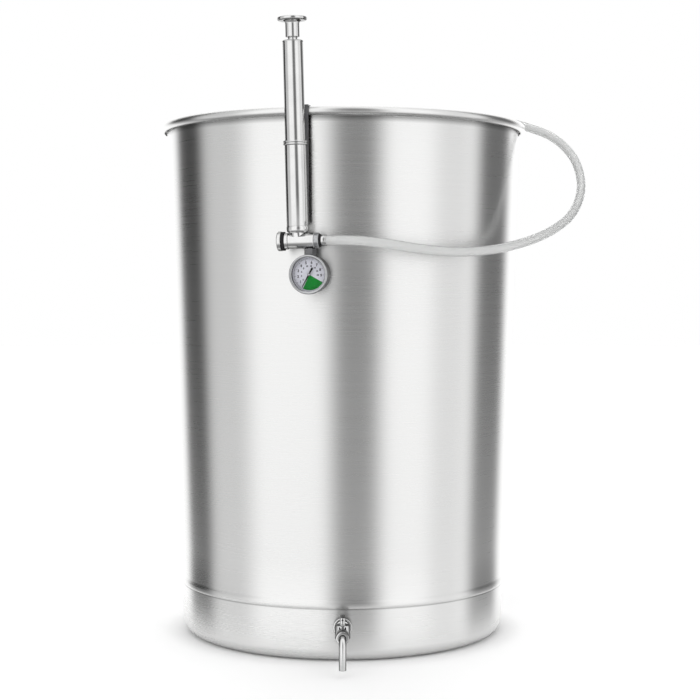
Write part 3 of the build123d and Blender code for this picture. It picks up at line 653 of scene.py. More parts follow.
def studio_world(glow):
    """A white tent with dark and grey panels round it, which the steel mirrors."""
    world = bpy.data.worlds.new("studio")
    world.use_nodes = True
    tree = world.node_tree
    tree.nodes.clear()
    place = tree.nodes.new("ShaderNodeTexCoord")
    split = tree.nodes.new("ShaderNodeSeparateXYZ")
    tree.links.new(place.outputs["Generated"], split.inputs[0])
    x, y, z = [Value(tree, output) for output in split.outputs]
    # Degrees round from the front, + to the right
    turn = x.maths("ARCTAN2", x, 0.0 - y) * (180.0 / math.pi)

    paling = (1.05 + z * 1.15).clamped()  # the panels pale towards the floor

    def panel(centre, half, soft, depth):
        """1 outside a panel, falling to 1 - depth inside it."""
        away = (turn - centre).size()
        inside = (1.0 - (away - (half - soft)) / (2.0 * soft)).clamped()
        smooth = inside * inside * (3.0 - 2.0 * inside)
        return 1.0 - smooth * paling * depth

    panels = [  # centre, half width and soft edge in degrees, and how dark
        (8.5, 16.0, 9.0, 0.82), (118.0, 20.0, 9.0, 0.88), (-119.0, 16.0, 7.0, 0.96),
        (-98.0, 22.0, 13.0, 0.42), (-72.0, 9.0, 8.0, 0.3), (76.0, 14.0, 9.0, 0.25),
    ]
    bands = panel(*panels[0])
    for shape in panels[1:]:
        bands = bands * panel(*shape)
    # The panels end overhead and low down, where the tent is plain, and the floor's side is greyer.
    level = (1.0 - (z.size() - 0.55).clamped() * 1.6).clamped()
    underside = 1.0 - ((0.0 - z - 0.34) * 2.6).clamped() * 0.74
    mirror = (bands * level + (1.0 - level)) * underside
    lit = tree.nodes.new("ShaderNodeBackground")
    seen = tree.nodes.new("ShaderNodeBackground")
    seen.inputs["Color"].default_value = (1.0, 1.0, 1.0, 1.0)
    seen.inputs["Strength"].default_value = 1.0
    plug_in(tree, lit.inputs["Strength"], mirror * glow)
    path = tree.nodes.new("ShaderNodeLightPath")
    mix = tree.nodes.new("ShaderNodeMixShader")
    output = tree.nodes.new("ShaderNodeOutputWorld")
    tree.links.new(path.outputs["Is Camera Ray"], mix.inputs[0])
    tree.links.new(lit.outputs[0], mix.inputs[1])
    tree.links.new(seen.outputs[0], mix.inputs[2])
    tree.links.new(mix.outputs[0], output.inputs[0])
    return world


class TANK_OT_stage(bpy.types.Operator):
    """Set the floor, the room, the light and the camera"""

    bl_idname = "brewing_tank.stage"
    bl_label = "Stage"

    def execute(self, context):
        look = context.scene.tank_stage
        clear_selection()
        floor_radius, floor_drop = 9.0, 0.0002
        bpy.ops.mesh.primitive_circle_add(
            vertices=96, radius=floor_radius, fill_type="NGON", location=(0, 0, -floor_drop)
        )
        floor = context.object
        floor.name = "studio_floor"
        floor.data.materials.append(floor_material(look.floor))
        context.scene.world = studio_world(look.glow)
        camera_height = 0.3879
        camera_back = 1.75515
        camera_tilt = math.radians(87.758)
        bpy.ops.object.camera_add(
            location=(0, -camera_back, camera_height), rotation=(camera_tilt, 0, 0)
        )
        camera = context.object
        camera.name = "front_camera"
        camera.data.sensor_width = 36.0
        camera.data.lens = 78.2
        camera.data.shift_x = 0.0106
        context.scene.camera = camera
        context.scene.view_settings.view_transform = "Standard"
        return {"FINISHED"}


# ---- Hose ----
HOSE_RUNS = [  # control points of the hose, from the barb round to the lid's nozzle
    (-0.015879, -0.218488, 0.438573),
    (0.004656, -0.222866, 0.438976),
    (0.039, -0.228, 0.436),
    (0.081, -0.216, 0.429),
    (0.121, -0.192, 0.427),
    (0.155, -0.165, 0.430),
    (0.184, -0.137, 0.436),
    (0.212, -0.105, 0.445),
    (0.237, -0.074, 0.457),
    (0.260, -0.040, 0.474),
    (0.276, -0.002, 0.504),
    (0.275, 0.031, 0.537),
    (0.262, 0.054, 0.560),
    (0.246, 0.070, 0.574),
    (0.228, 0.081, 0.582),
    (0.207, 0.086, 0.589),
    (0.192, 0.0855, 0.590),
    (0.177, 0.085, 0.591),
    (0.151, 0.077, 0.581),
    (0.132, 0.072, 0.560),
    (0.124, 0.069, 0.529),
    (0.126, 0.067, 0.484),
    (0.131, 0.065, 0.410),
    (0.1365, 0.063, 0.300),
    (0.136, 0.062, 0.200),
    (0.134131, 0.062547, 0.155),
    (0.134131, 0.062547, 0.115),
]


def smooth_route(name, points):
    """A NURBS line with the given control points."""
    curve = bpy.data.curves.new(name, "CURVE")
    curve.dimensions = "3D"
    curve.resolution_u = 10
    spline = curve.splines.new("NURBS")
    spline.points.add(len(points) - 1)
    for point, place in zip(spline.points, points):
        point.co = (*place, 1.0)
    spline.order_u = 3
    spline.use_endpoint_u = True
    route = bpy.data.objects.new(name, curve)
    bpy.context.scene.collection.objects.link(route)
    return route


class TANK_OT_hose(bpy.types.Operator):
    """Lay the clear hose from the pump over the rim to the lid"""

    bl_idname = "brewing_tank.hose"
    bl_label = "Hose"

    def execute(self, context):
        sizes = context.scene.tank_pump
        route = smooth_route("air_hose", HOSE_RUNS)
        context.view_layer.update()
        line = bpy.data.meshes.new_from_object(route)
        route.data.bevel_depth = sizes.hose * mm
        route.data.bevel_resolution = 10
        select_only(route)
        bpy.ops.object.convert(target="MESH")
        hose = context.object
        hose.name = "air_hose"
        hollowed(hose, sizes.hose_wall)
        edit_all()
        leave_edit()
        bpy.ops.object.shade_smooth_by_angle(angle=math.radians(50))
        fitted(hose, None, "clear_hose", "hose_outer", "hose_inner")
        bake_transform(hose)
        return {"FINISHED"}


# ---- Tank ----
class TANK_OT_wall(bpy.types.Operator):
    """Turn the tapered wall with its rolled rim and its lap over the bottom"""

    bl_idname = "brewing_tank.wall"
    bl_label = "Wall"

    def execute(self, context):
        sizes = tank_sizes()
        sheet, curl = sizes.sheet, sizes.curl
        low, high = lap_low / mm, lap_high / mm
        step = high + sizes.lap_rise
        top = rim_top / mm
        curl_z = top - curl
        curl_x = wall_radius(curl_z) + curl - sheet
        proud = 0.3  # rounding of the lap's edge
        section = [
            (wall_radius(low) + sheet - proud, low),
            (wall_radius(low) + sheet - 0.08, low + 0.08),
            (wall_radius(low) + sheet + 0.12, low + 0.6),
            (wall_radius(low) + sheet + 0.38, low + 1.9),
            (wall_radius(low) + sheet + 0.45, low + 3.3),
            (wall_radius(low) + sheet + 0.36, high - 1.6),
            (wall_radius(high) + sheet + 0.05, high - 0.4),
            (wall_radius(high) + 0.55, high + 0.7),
            (wall_radius(step) + 0.12, step - 0.6),
            (wall_radius(step), step),
        ]
        levels = 14
        heights = [step + (curl_z - step) * level / levels for level in range(1, levels)]
        section += [(wall_radius(z), z) for z in heights]
        section += arc((curl_x, curl_z), curl - sheet, 180, -100, 20)
        section += arc((curl_x, curl_z), curl, -100, 180, 28)
        section += [(wall_radius(z) - sheet, z) for z in reversed(heights)]
        section += [
            (wall_radius(step) - sheet, step),
            (wall_radius(high), high),
            (wall_radius(low), low),
        ]
        wall = turned("wall_sheet", section, segments=192, loop=True, soft=40)
        seam_foot, seam_length, seam_thick, sunk = 66.0, 500.0, 0.3, 0.08
        seam = plate("wall_seam", seam_outline(sizes.seam_width, seam_length), seam_thick, edge=0.1)
        middle = seam_foot + seam_length / 2
        lean = math.atan((sizes.brim_radius - sizes.foot_radius) / top)
        up = Vector((0, math.sin(lean), math.cos(lean)))
        origin = Vector((0, (wall_radius(middle) - sunk) * mm, middle * mm))
        placed(seam, axes(origin, Vector((-1, 0, 0)), up, Vector((-1, 0, 0)).cross(up)))
        wall = joined("wall_sheet", [wall, seam])
        fitted(wall, "tank", "satin_steel", "tank_wall")
        return {"FINISHED"}


def seam_outline(width, length):
    """A long strip with round ends, about the origin."""
    half = width / 2
    top = arc((0, length / 2 - half), half, 0, 180, 8)
    return top + arc((0, half - length / 2), half, 180, 360, 8)


class TANK_OT_bottom(bpy.types.Operator):
    """Press the bottom, with its rounded corner and the skirt that the wall laps over"""

    bl_idname = "brewing_tank.bottom"
    bl_label = "Bottom"

    def execute(self, context):
        sizes = tank_sizes()
        sheet, corner = sizes.sheet, sizes.corner
        high = lap_high / mm
        outer = sizes.foot_radius
        rings = (0, 60, 120, 160)
        section = [(radius, 0) for radius in rings]
        section += arc((outer - corner, corner), corner, -90, -1.7, 14)
        heights = (30.0, 45.0, high)
        section += [(wall_radius(z), z) for z in heights]
        section += [(wall_radius(z) - sheet, z) for z in reversed(heights)]
        section += arc((outer - corner, corner), corner - sheet, -1.7, -90, 14)
        section += [(radius, sheet) for radius in reversed(rings)]
        bottom = turned("pressed_bottom", section, segments=192, soft=40)
        fitted(bottom, "tank", "satin_steel", "tank_bottom")
        return {"FINISHED"}


# ---- Pump ----
class TANK_OT_barrel(bpy.types.Operator):
    """Turn the pump's barrel, its sleeve, collar, cap and clamp ring"""

    bl_idname = "brewing_tank.barrel"
    bl_label = "Pump barrel"

    def execute(self, context):
        sizes = context.scene.tank_pump
        outer, sleeve = sizes.barrel, sizes.sleeve
        bore = outer - 1.0
        tube_low, tube_high = 12.0, 199.4
        sleeve_low, sleeve_high = 15.0, 96.5
        lathed(
            "pump_tube", PUMP, "tank", "polished_steel", "pump_barrel",
            [(bore, tube_low), (outer, tube_low), (outer, 60), (outer, 120), (outer, tube_high),
             (bore, tube_high)],
            loop=True, edge=0.15,
        )
        lathed(
            "lower_sleeve", PUMP, "tank", "polished_steel", "barrel_sleeve",
            [(outer + 0.02, sleeve_low), (sleeve, sleeve_low), (sleeve, 50), (sleeve, sleeve_high),
             (outer + 0.02, sleeve_high)],
            loop=True, edge=0.2,
        )
        collar_r, seat = sleeve + 0.4, 7.2
        lathed(
            "foot_collar", PUMP, "tank", "polished_steel", "barrel_collar",
            [(seat, 8.2), (9.0, 8.2), (10.2, 9.0), (10.9, 9.8), (11.25, 10.8), (collar_r, 12.0),
             (collar_r, 13.8), (11.1, 14.3), (11.0, 15.0), (outer, 15.0), (outer, 12.0), (seat, 12.0)],
            loop=True, soft=30, edge=0.12,
        )
        rod, lip = 4.8, outer + 0.35
        lathed(
            "top_cap", PUMP, "tank", "polished_steel", "barrel_cap",
            [(rod, 192.4), (bore, 192.4), (bore, tube_high), (lip - 0.15, tube_high)]
            + arc((lip - 0.6, 200.0), 0.6, -40, 60, 5)
            + [(lip - 0.9, 201.0), (8.4, 201.2), (7.9, 200.9), (6.4, 200.9), (6.0, 201.2),
               (rod + 0.3, 201.2), (rod, 200.9)],
            loop=True, soft=35,
        )
        ring_low, ring_high, ring_r = 96.5, 100.8, sleeve + 1.4
        waist = (ring_low + ring_high) / 2
        ring = turned(
            "clamp_ring",
            [(outer + 0.02, ring_low), (ring_r - 0.6, ring_low)]
            + arc((ring_r - 1.0, ring_low + 1.0), 1.0, -60, 50, 6)
            + [(ring_r - 0.9, waist - 0.2), (ring_r - 0.9, waist + 0.2)]
            + arc((ring_r - 1.0, ring_high - 1.0), 1.0, -50, 60, 6)
            + [(ring_r - 0.6, ring_high), (outer + 0.02, ring_high)],
            loop=True, soft=30,
        )
        strap_face = sleeve + 0.05
        select_only(ring)
        edit_all()
        bpy.ops.mesh.bisect(
            plane_co=(0, strap_face * mm, 0), plane_no=(0, 1, 0), use_fill=True, clear_outer=True
        )
        bpy.ops.object.mode_set(mode="OBJECT")
        fitted(placed(ring, PUMP), "tank", "polished_steel", "ring_clamp")
        return {"FINISHED"}


class TANK_OT_plunger(bpy.types.Operator):
    """Turn the plunger's rod, neck and domed knob"""

    bl_idname = "brewing_tank.plunger"
    bl_label = "Plunger"

    def execute(self, context):
        knob = context.scene.tank_pump.knob
        rod_r, neck_r, flare = 4.75, 7.15, 2.2
        neck_foot, knob_foot = 204.2, 220.5
        piston_top = 38.0
        lathed(
            "pump_rod", PUMP, "plunger", "polished_steel", "plunger_rod",
            [(0, 20.0), (2.6, 20.0), (3.0, 20.4), (3.0, piston_top), (rod_r, piston_top), (rod_r, 110),
             (rod_r, knob_foot), (0, knob_foot)],
            edge=0.1,
        )
        lathed(
            "knob_stem", PUMP, "plunger", "polished_steel", "knob_neck",
            [(rod_r, neck_foot + 0.4), (rod_r + 0.3, neck_foot), (neck_r - 0.5, neck_foot)]
            + arc((neck_r - 0.5, neck_foot + 0.5), 0.5, -70, 0, 4) + [(neck_r, neck_foot + 8.0)]
            + arc((neck_r + flare + 1.2, knob_foot - 3.4), flare + 1.2, 180, 118, 7)
            + [(neck_r + flare, knob_foot), (rod_r, knob_foot)],
            loop=True, soft=35,
        )
        edge_low, edge_high, top = knob_foot, knob_foot + 3.1, knob_foot + 5.2
        rise = top - edge_high
        dome_r = (knob ** 2 + rise ** 2) / (2 * rise)
        span = math.degrees(math.asin(knob / dome_r))
        dome = arc((0, top - dome_r), dome_r, 90 - span * 0.93, 90, 12)[:-1]
        lathed(
            "plunger_disc", PUMP, "plunger", "polished_steel", "plunger_knob",
            [(0, edge_low), (9.6, edge_low), (knob - 2.2, edge_low + 0.1)]
            + arc((knob - 1.4, edge_low + 1.5), 1.4, -75, 0, 6)
            + arc((knob - 1.1, edge_high - 0.7), 1.1, 0, 62, 5) + dome + [(0, top)],
            segments=96, soft=40,
        )
        return {"FINISHED"}


class TANK_OT_manifold(bpy.types.Operator):
    """Turn the manifold under the pump, its bleed knob, knurled ring, seals and hose nut"""

    bl_idname = "brewing_tank.manifold"
    bl_label = "Manifold"

    def execute(self, context):
        left, right, body_r, flange_r = -13.3, 17.4, 8.0, 8.4
        body = turned(
            "valve_block",
            [(0, left), (flange_r - 0.5, left)] + arc((flange_r - 0.5, left + 0.5), 0.5, -60, 0, 3)
            + [(flange_r, left + 3.0)] + arc((flange_r - 0.4, left + 3.2), 0.4, 0, 70, 3)
            + [(body_r - 0.35, left + 3.8), (body_r, left + 4.3), (body_r, 0), (body_r, right - 0.5),
               (body_r - 0.5, right), (0, right)],
            segments=72, soft=35,
        )
        placed(body, ACROSS)
        boss = turned("boss", [(0, 0), (7.2, 0), (7.2, 8.0), (7.2, 12.0), (0, 12.0)], segments=64)
        placed(boss, PUMP)
        body = combined(body, boss, "UNION")
        fitted(body, "tank", "polished_steel", "manifold")
        lathed(
            "bleed_seal", ACROSS, "tank", "black_rubber", "bleed_washer",
            [(2.5, left - 3.0)] + arc((9.0, left - 2.4), 0.6, -90, 0, 5)
            + arc((9.0, left - 0.6), 0.6, 0, 90, 5) + [(2.5, left)],
            loop=True, soft=40,
        )
        face = BLEED_FACE / mm
        thick, knob_r = 4.5, 10.0
        lathed(
            "bleed_wheel", ACROSS, "bleed_knob", "polished_steel", "bleed_knob",
            [(0, face - thick + 0.7), (3.0, face - thick + 0.7), (3.6, face - thick + 0.25),
             (5.4, face - thick + 0.1), (knob_r - 1.6, face - thick + 0.25)]
            + arc((knob_r - 1.4, face - thick + 1.6), 1.4, -75, 0, 7) + [(knob_r, face - 1.2)]
            + arc((knob_r - 0.8, face - 0.8), 0.8, 0, 80, 5)
            + [(knob_r - 2.4, face), (2.5, face), (2.5, face - thick + 1.0), (0, face - thick + 1.0)],
            segments=96, soft=40,
        )
        ring_low, ring_high, ring_r = right, right + 4.9, 8.0
        ring = turned(
            "union_ring",
            [(2.5, ring_low), (7.5, ring_low), (7.7, ring_low + 0.2), (7.7, ring_high - 0.5),
             (7.2, ring_high), (2.5, ring_high)],
            loop=True, soft=30,
        )
        clear_selection()
        bpy.ops.mesh.primitive_cone_add(
            vertices=4, radius1=0.52 * mm, radius2=0.22 * mm, depth=0.4 * mm,
            rotation=(0, math.radians(90), 0),
        )
        bump = context.object
        bump.name = "knurl"
        bpy.ops.object.transform_apply(location=False, rotation=True, scale=True)
        rows = [ring_low + 0.8, ring_low + 1.95, ring_low + 3.1, ring_low + 4.2]
        knurl = copies_around("knurl_rows", bump, 32, ring_r - 0.2, rows)
        ring = joined("union_ring", [ring, knurl])
        fitted(placed(ring, ACROSS), "tank", "polished_steel", "knurled_ring", finish="gauge_steel")
        seal_low, seal_high = ring_high, ring_high + 1.6
        lathed(
            "union_oring", ACROSS, "tank", "black_rubber", "union_seal",
            [(2.5, seal_low)] + arc((6.0, seal_low + 0.6), 0.6, -80, 0, 6)
            + arc((6.0, seal_high - 0.6), 0.6, 0, 80, 6) + [(2.5, seal_high)],
            loop=True, soft=60,
        )
        nut_low, nut_high = seal_high, seal_high + 6.0
        lathed(
            "hose_nut", ACROSS, "tank", "polished_steel", "pump_barb",
            [(1.8, nut_low), (5.0, nut_low), (5.6, nut_low + 0.5), (5.9, nut_low + 1.3),
             (5.9, nut_high - 2.4), (5.5, nut_high - 1.7), (5.5, nut_high - 1.2),
             (5.85, nut_high - 0.8), (5.6, nut_high - 0.2), (5.1, nut_high), (3.2, nut_high),
             (3.2, nut_high + 10.6), (2.9, nut_high + 11.0), (1.8, nut_high + 11.0)],
            loop=True, soft=30, edge=0.08,
        )
        return {"FINISHED"}


# ---- Gauge ----
def dial_point(radius, clock):
    """A point of the dial in mm, at degrees clockwise from its top."""
    turn = math.radians(90 - clock)
    return (radius * math.cos(turn), radius * math.sin(turn))


def sector(radius, inner, start, stop, steps):
    """Outline of a ring sector, clockwise degrees from the top."""
    outer = [dial_point(radius, start + (stop - start) * k / steps) for k in range(steps + 1)]
    if inner == 0:
        return [(0, 0)] + outer
    back = [dial_point(inner, stop + (start - stop) * k / steps) for k in range(steps + 1)]
    return outer + back


class TANK_OT_gauge(bpy.types.Operator):
    """Make the gauge's case, bezel, printed dial, figures and needle"""

    bl_idname = "brewing_tank.gauge"
    bl_label = "Pressure gauge"

    def execute(self, context):
        bezel_r = context.scene.tank_pump.gauge
        case_r, back, front = bezel_r - 1.0, -9.0, 10.0
        lathed(
            "gauge_can", GAUGE, "tank", "gauge_steel", "gauge_case",
            [(0, back), (14.0, back)] + arc((case_r - 2.0, back + 2.0), 2.0, -80, 0, 7)
            + [(case_r, 2.0), (case_r, front), (case_r - 1.0, front), (case_r - 1.0, back + 2.4),
               (case_r - 2.2, back + 1.0), (0, back + 1.0)],
            segments=96, soft=35,
        )
        rim_low, rim_high, window = 8.0, 13.5, 17.4
        lathed(
            "gauge_rim", GAUGE, "tank", "gauge_steel", "gauge_bezel",
            [(case_r, rim_low), (case_r + 0.7, rim_low)]
            + arc((bezel_r - 0.4, rim_low + 0.4), 0.4, -60, 0, 4) + [(bezel_r, rim_high - 1.3)]
            + arc((bezel_r - 1.2, rim_high - 1.2), 1.2, 0, 80, 7)
            + [(window + 0.7, rim_high - 0.15), (window, rim_high - 0.75), (window, rim_high - 1.0),
               (case_r, rim_high - 1.0)],
            segments=128, loop=True, soft=35,
        )
        dial_r, dial_front = 17.9, 6.5
        lathed(
            "dial_plate", GAUGE, "tank", "gauge_dial", "gauge_dial",
            [(0.85, dial_front - 0.8), (dial_r, dial_front - 0.8), (dial_r, dial_front),
             (0.85, dial_front)],
            segments=96, loop=True, edge=0.1,
        )
        self.print_dial(context, dial_front)
        self.needle(context)
        return {"FINISHED"}

    def print_dial(self, context, front):
        ink = 0.03
        blank_start, blank_stop = 120, 208  # the green field has no ticks
        scale_start, scale_sweep, steps = 210.0, 270.0, 50
        ticks = []
        for number in range(steps + 1):
            clock = scale_start + scale_sweep * number / steps
            if blank_start < clock % 360 < blank_stop:
                continue
            whole = number % 5 == 0
            inner, half = (14.2, 0.16) if whole else (15.1, 0.09)
            outer = 16.2
            tick = plate("tick", [(inner, -half), (outer, -half), (outer, half), (inner, half)], ink)
            ticks.append(placed(tick, Matrix.Rotation(math.radians(90 - clock), 4, "Z")))
        rings = plate("scale_line", sector(16.35, 16.2, scale_start, scale_start + scale_sweep, 72), ink)
        figures = ticks + [rings]
        for count in range(9):
            clock = scale_start + 22 + count * 28.0
            for radius, size, text in ((12.0, 3.7, str(count + 1)), (8.5, 2.2, str((count + 1) * 2))):
                x, y = dial_point(radius, clock)
                clear_selection()
                bpy.ops.object.text_add(location=(0, 0, 0))
                letter = context.object
                letter.data.body = text
                letter.data.size = size * mm
                letter.data.align_x = "CENTER"
                letter.data.align_y = "CENTER"
                letter.data.extrude = ink * mm / 2
                letter.data.offset = 0.14 * mm
                letter.data.resolution_u = 3
                bpy.ops.object.convert(target="MESH")
                letter = context.object
                figures.append(placed(letter, Matrix.Translation((x * mm, y * mm, ink * mm / 2))))
        print_face = GAUGE @ Matrix.Translation((0, 0, front * mm))
        figures = joined("dial_figures", figures)
        fitted(placed(figures, print_face), "tank", "needle_black", finish="dial_ink")
        green = plate("dial_green", sector(15.9, 0, 122, 207, 24), ink * 0.8)
        fitted(placed(green, print_face), "tank", "gauge_dial", finish="dial_green")
        edge = plate("dial_green_edge", sector(16.1, 15.9, 119, 209, 24), ink)
        rim = plate("dial_edge_line", [(0.8, -0.22), (16.1, -0.22), (16.1, 0.22), (0.8, 0.22)], ink)
        placed(rim, Matrix.Rotation(math.radians(90 - 121), 4, "Z"))
        fitted(placed(joined("dial_green_edge", [edge, rim]), print_face), "tank", "gauge_dial")

    def needle(self, context):
        rest = context.scene.tank_pump.needle_turn
        low, thick = 9.0, 0.45
        blade = [(0, -0.8), (14.0, -0.4), (14.3, 0), (14.0, 0.4), (0, 0.8)]
        stub = [(0, -0.75)] + arc((-6.9, 0), 1.05, 270, 90, 8) + [(0, 0.75)]
        pointer = plate("pointer", blade, thick, edge=0.06)
        tail = plate("tail", stub, thick, edge=0.06)
        needle = joined("gauge_hand", [pointer, tail])
        placed(needle, Matrix.Translation((0, 0, low * mm)) @ Matrix.Rotation(math.pi / 2 - rest, 4, "Z"))
        spindle = turned(
            "spindle",
            [(0, 0.1), (0.8, 0.1), (0.8, low), (1.6, low + 0.02), (1.6, low + 0.3), (0, low + 0.3)],
        )
        needle = joined("gauge_hand", [needle, spindle])
        fitted(placed(needle, GAUGE), "gauge_needle", "needle_black", "gauge_needle")
        boss = turned(
            "hand_boss",
            [(0, low + 0.3), (1.5, low + 0.3)] + arc((0.7, low + 0.3), 0.8, 0, 80, 5) + [(0, low + 1.1)],
            segments=48,
        )
        fitted(placed(boss, GAUGE), "gauge_needle", "gauge_steel")


# ---- Tap ----
class TANK_OT_tap(bpy.types.Operator):
    """Make the tap's flanged body, key, hub and bent spout"""

    bl_idname = "brewing_tank.tap"
    bl_label = "Tap"

    def execute(self, context):
        flange_low, flange_high, flange_r = 2.0, 5.0, 10.0
        pipe_r, hub_low, hub_high, hub_r = 5.2, 42.0, 54.8, 7.0
        tail, tail_r = -14.0, 6.5
        body = turned(
            "tap_casting",
            [(0, tail), (tail_r - 0.5, tail), (tail_r, tail + 0.6), (tail_r, flange_low),
             (flange_r - 0.3, flange_low)]
            + arc((flange_r - 0.9, flange_high - 0.9), 0.9, 0, 75, 6)
            + [(8.2, flange_high), (7.0, flange_high - 0.3), (pipe_r + 1.0, flange_high + 0.1),
               (pipe_r + 0.2, flange_high + 1.2), (pipe_r, flange_high + 2.4), (pipe_r, 30.0),
               (pipe_r, hub_low - 1.5), (hub_r - 1.0, hub_low), (hub_r, hub_low + 0.9),
               (hub_r, hub_high - 2.6), (hub_r - 0.5, hub_high - 1.6), (hub_r - 0.5, hub_high - 1.2),
               (hub_r - 0.1, hub_high - 0.9), (hub_r - 0.5, hub_high - 0.15), (hub_r - 1.0, hub_high),
               (4.6, hub_high), (4.4, hub_high - 0.8), (0, hub_high - 0.8)],
            segments=72, soft=35,
        )
        placed(body, TAP)
        cock_r, cock_low, cock_high = 8.0, -7.5, 7.0
        housing = turned(
            "cock_housing",
            [(0, cock_low), (cock_r - 1.0, cock_low)]
            + arc((cock_r - 1.0, cock_low + 1.0), 1.0, -70, 0, 5) + [(cock_r, 0)]
            + arc((cock_r - 0.8, cock_high - 0.8), 0.8, 0, 75, 5)
            + [(cock_r - 1.4, cock_high), (0, cock_high)],
            segments=72, soft=35,
        )
        placed(housing, COCK)
        body = combined(body, housing, "UNION")
        fitted(body, "tank", "polished_steel", "tap_body", finish="tap_steel")
        # Painted shade: two thin black plates either side of the key stand in for the shade in the slots
        # there
        slots = []
        for side in (-1, 1):
            outline = [(-0.75, -3.0), (0.75, -3.0), (0.75, 6.0), (-0.75, 6.0)]
            slot = plate("slot_shade_plate", outline, 0.9, edge=0.2)
            slots.append(placed(slot, TAP @ Matrix.Translation((side * 3.0 * mm, 0, 28.9 * mm))))
        fitted(joined("slot_shade_plates", slots), "tank", "black_rubber")
        self.key(cock_high)
        self.spout(hub_high)
        return {"FINISHED"}

    def key(self, foot):
        """The lever that turns the plug: narrow, tall and pierced near its front end."""
        width, length, height, round_r = 5.4, 18.0, 8.2, 2.2
        x, y = width / 2 - round_r, length / 2 - round_r
        outline = arc((x, y), round_r, 0, 90, 5) + arc((-x, y), round_r, 90, 180, 5)
        outline += arc((-x, -y), round_r, 180, 270, 5) + arc((x, -y), round_r, 270, 360, 5)
        key = plate("tap_lever", outline, height, edge=0.7, soft=40)
        placed(key, Matrix.Translation((0, 0, (foot + 0.5) * mm)))
        eye = turned("eye", [(0, -6), (1.5, -6), (1.5, 6), (0, 6)], segments=32)
        spot = Vector((0, -length / 4 * mm, (foot + 0.5 + height * 0.55) * mm))
        placed(eye, axes(spot, Vector((0, 1, 0)), Vector((0, 0, 1)), Vector((1, 0, 0))))
        key = combined(key, eye, "DIFFERENCE")
        fitted(placed(key, COCK), "tap_key", "polished_steel", "tap_key", finish="tap_steel")
        # Painted shade: a small black disc on the lever's front stands in for the dark of a hole
        hole_shade = turned("lever_hole_shade", [(0, -0.2), (1.1, -0.2), (1.1, 0.04), (0, 0.04)], segments=24)
        front = Vector((0, -length / 2 * mm, (foot + 0.5 + height * 0.72) * mm))
        placed(hole_shade, axes(front, Vector((1, 0, 0)), Vector((0, 0, 1)), Vector((0, -1, 0))))
        fitted(placed(hole_shade, COCK), "tap_key", "black_rubber")

    def spout(self, hub_high):
        """A pipe that leaves the hub, turns down and ends just above the floor."""
        radius, wall, bend, out = 3.8, 0.9, 8.0, 60.4
        start, tip = hub_high - 6.0, -(tap_pivot.z / mm - 7.0)
        clear_selection()
        bpy.ops.mesh.primitive_circle_add(vertices=48, radius=radius * mm, location=(0, 0, start * mm))
        spout = bpy.context.object
        spout.name = "tap_pipe"
        bpy.ops.object.transform_apply(location=True)
        edit_all()
        straight = {"value": (0, 0, (out - bend - start) * mm)}
        bpy.ops.mesh.extrude_region_move(TRANSFORM_OT_translate=straight)
        bpy.ops.mesh.spin(
            steps=14, angle=math.radians(-90), center=(0, -bend * mm, (out - bend) * mm), axis=(1, 0, 0)
        )
        bpy.ops.object.mode_set(mode="OBJECT")
        furthest = max(vertex.co.z for vertex in spout.data.vertices)
        if furthest < (out + radius) * mm - 1e-5:
            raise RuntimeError("the spout turned the wrong way")
        bpy.ops.object.mode_set(mode="EDIT")
        bpy.ops.mesh.extrude_region_move(TRANSFORM_OT_translate={"value": (0, (tip + bend) * mm, 0)})
        bpy.ops.mesh.select_all(action="SELECT")
        bpy.ops.mesh.remove_doubles(threshold=1e-6)
        leave_edit()
        hollowed(spout, wall)
        smoothed(spout, 40, edge=0.15)
        fitted(placed(spout, TAP), "tank", "polished_steel", "tap_spout", finish="tap_steel")


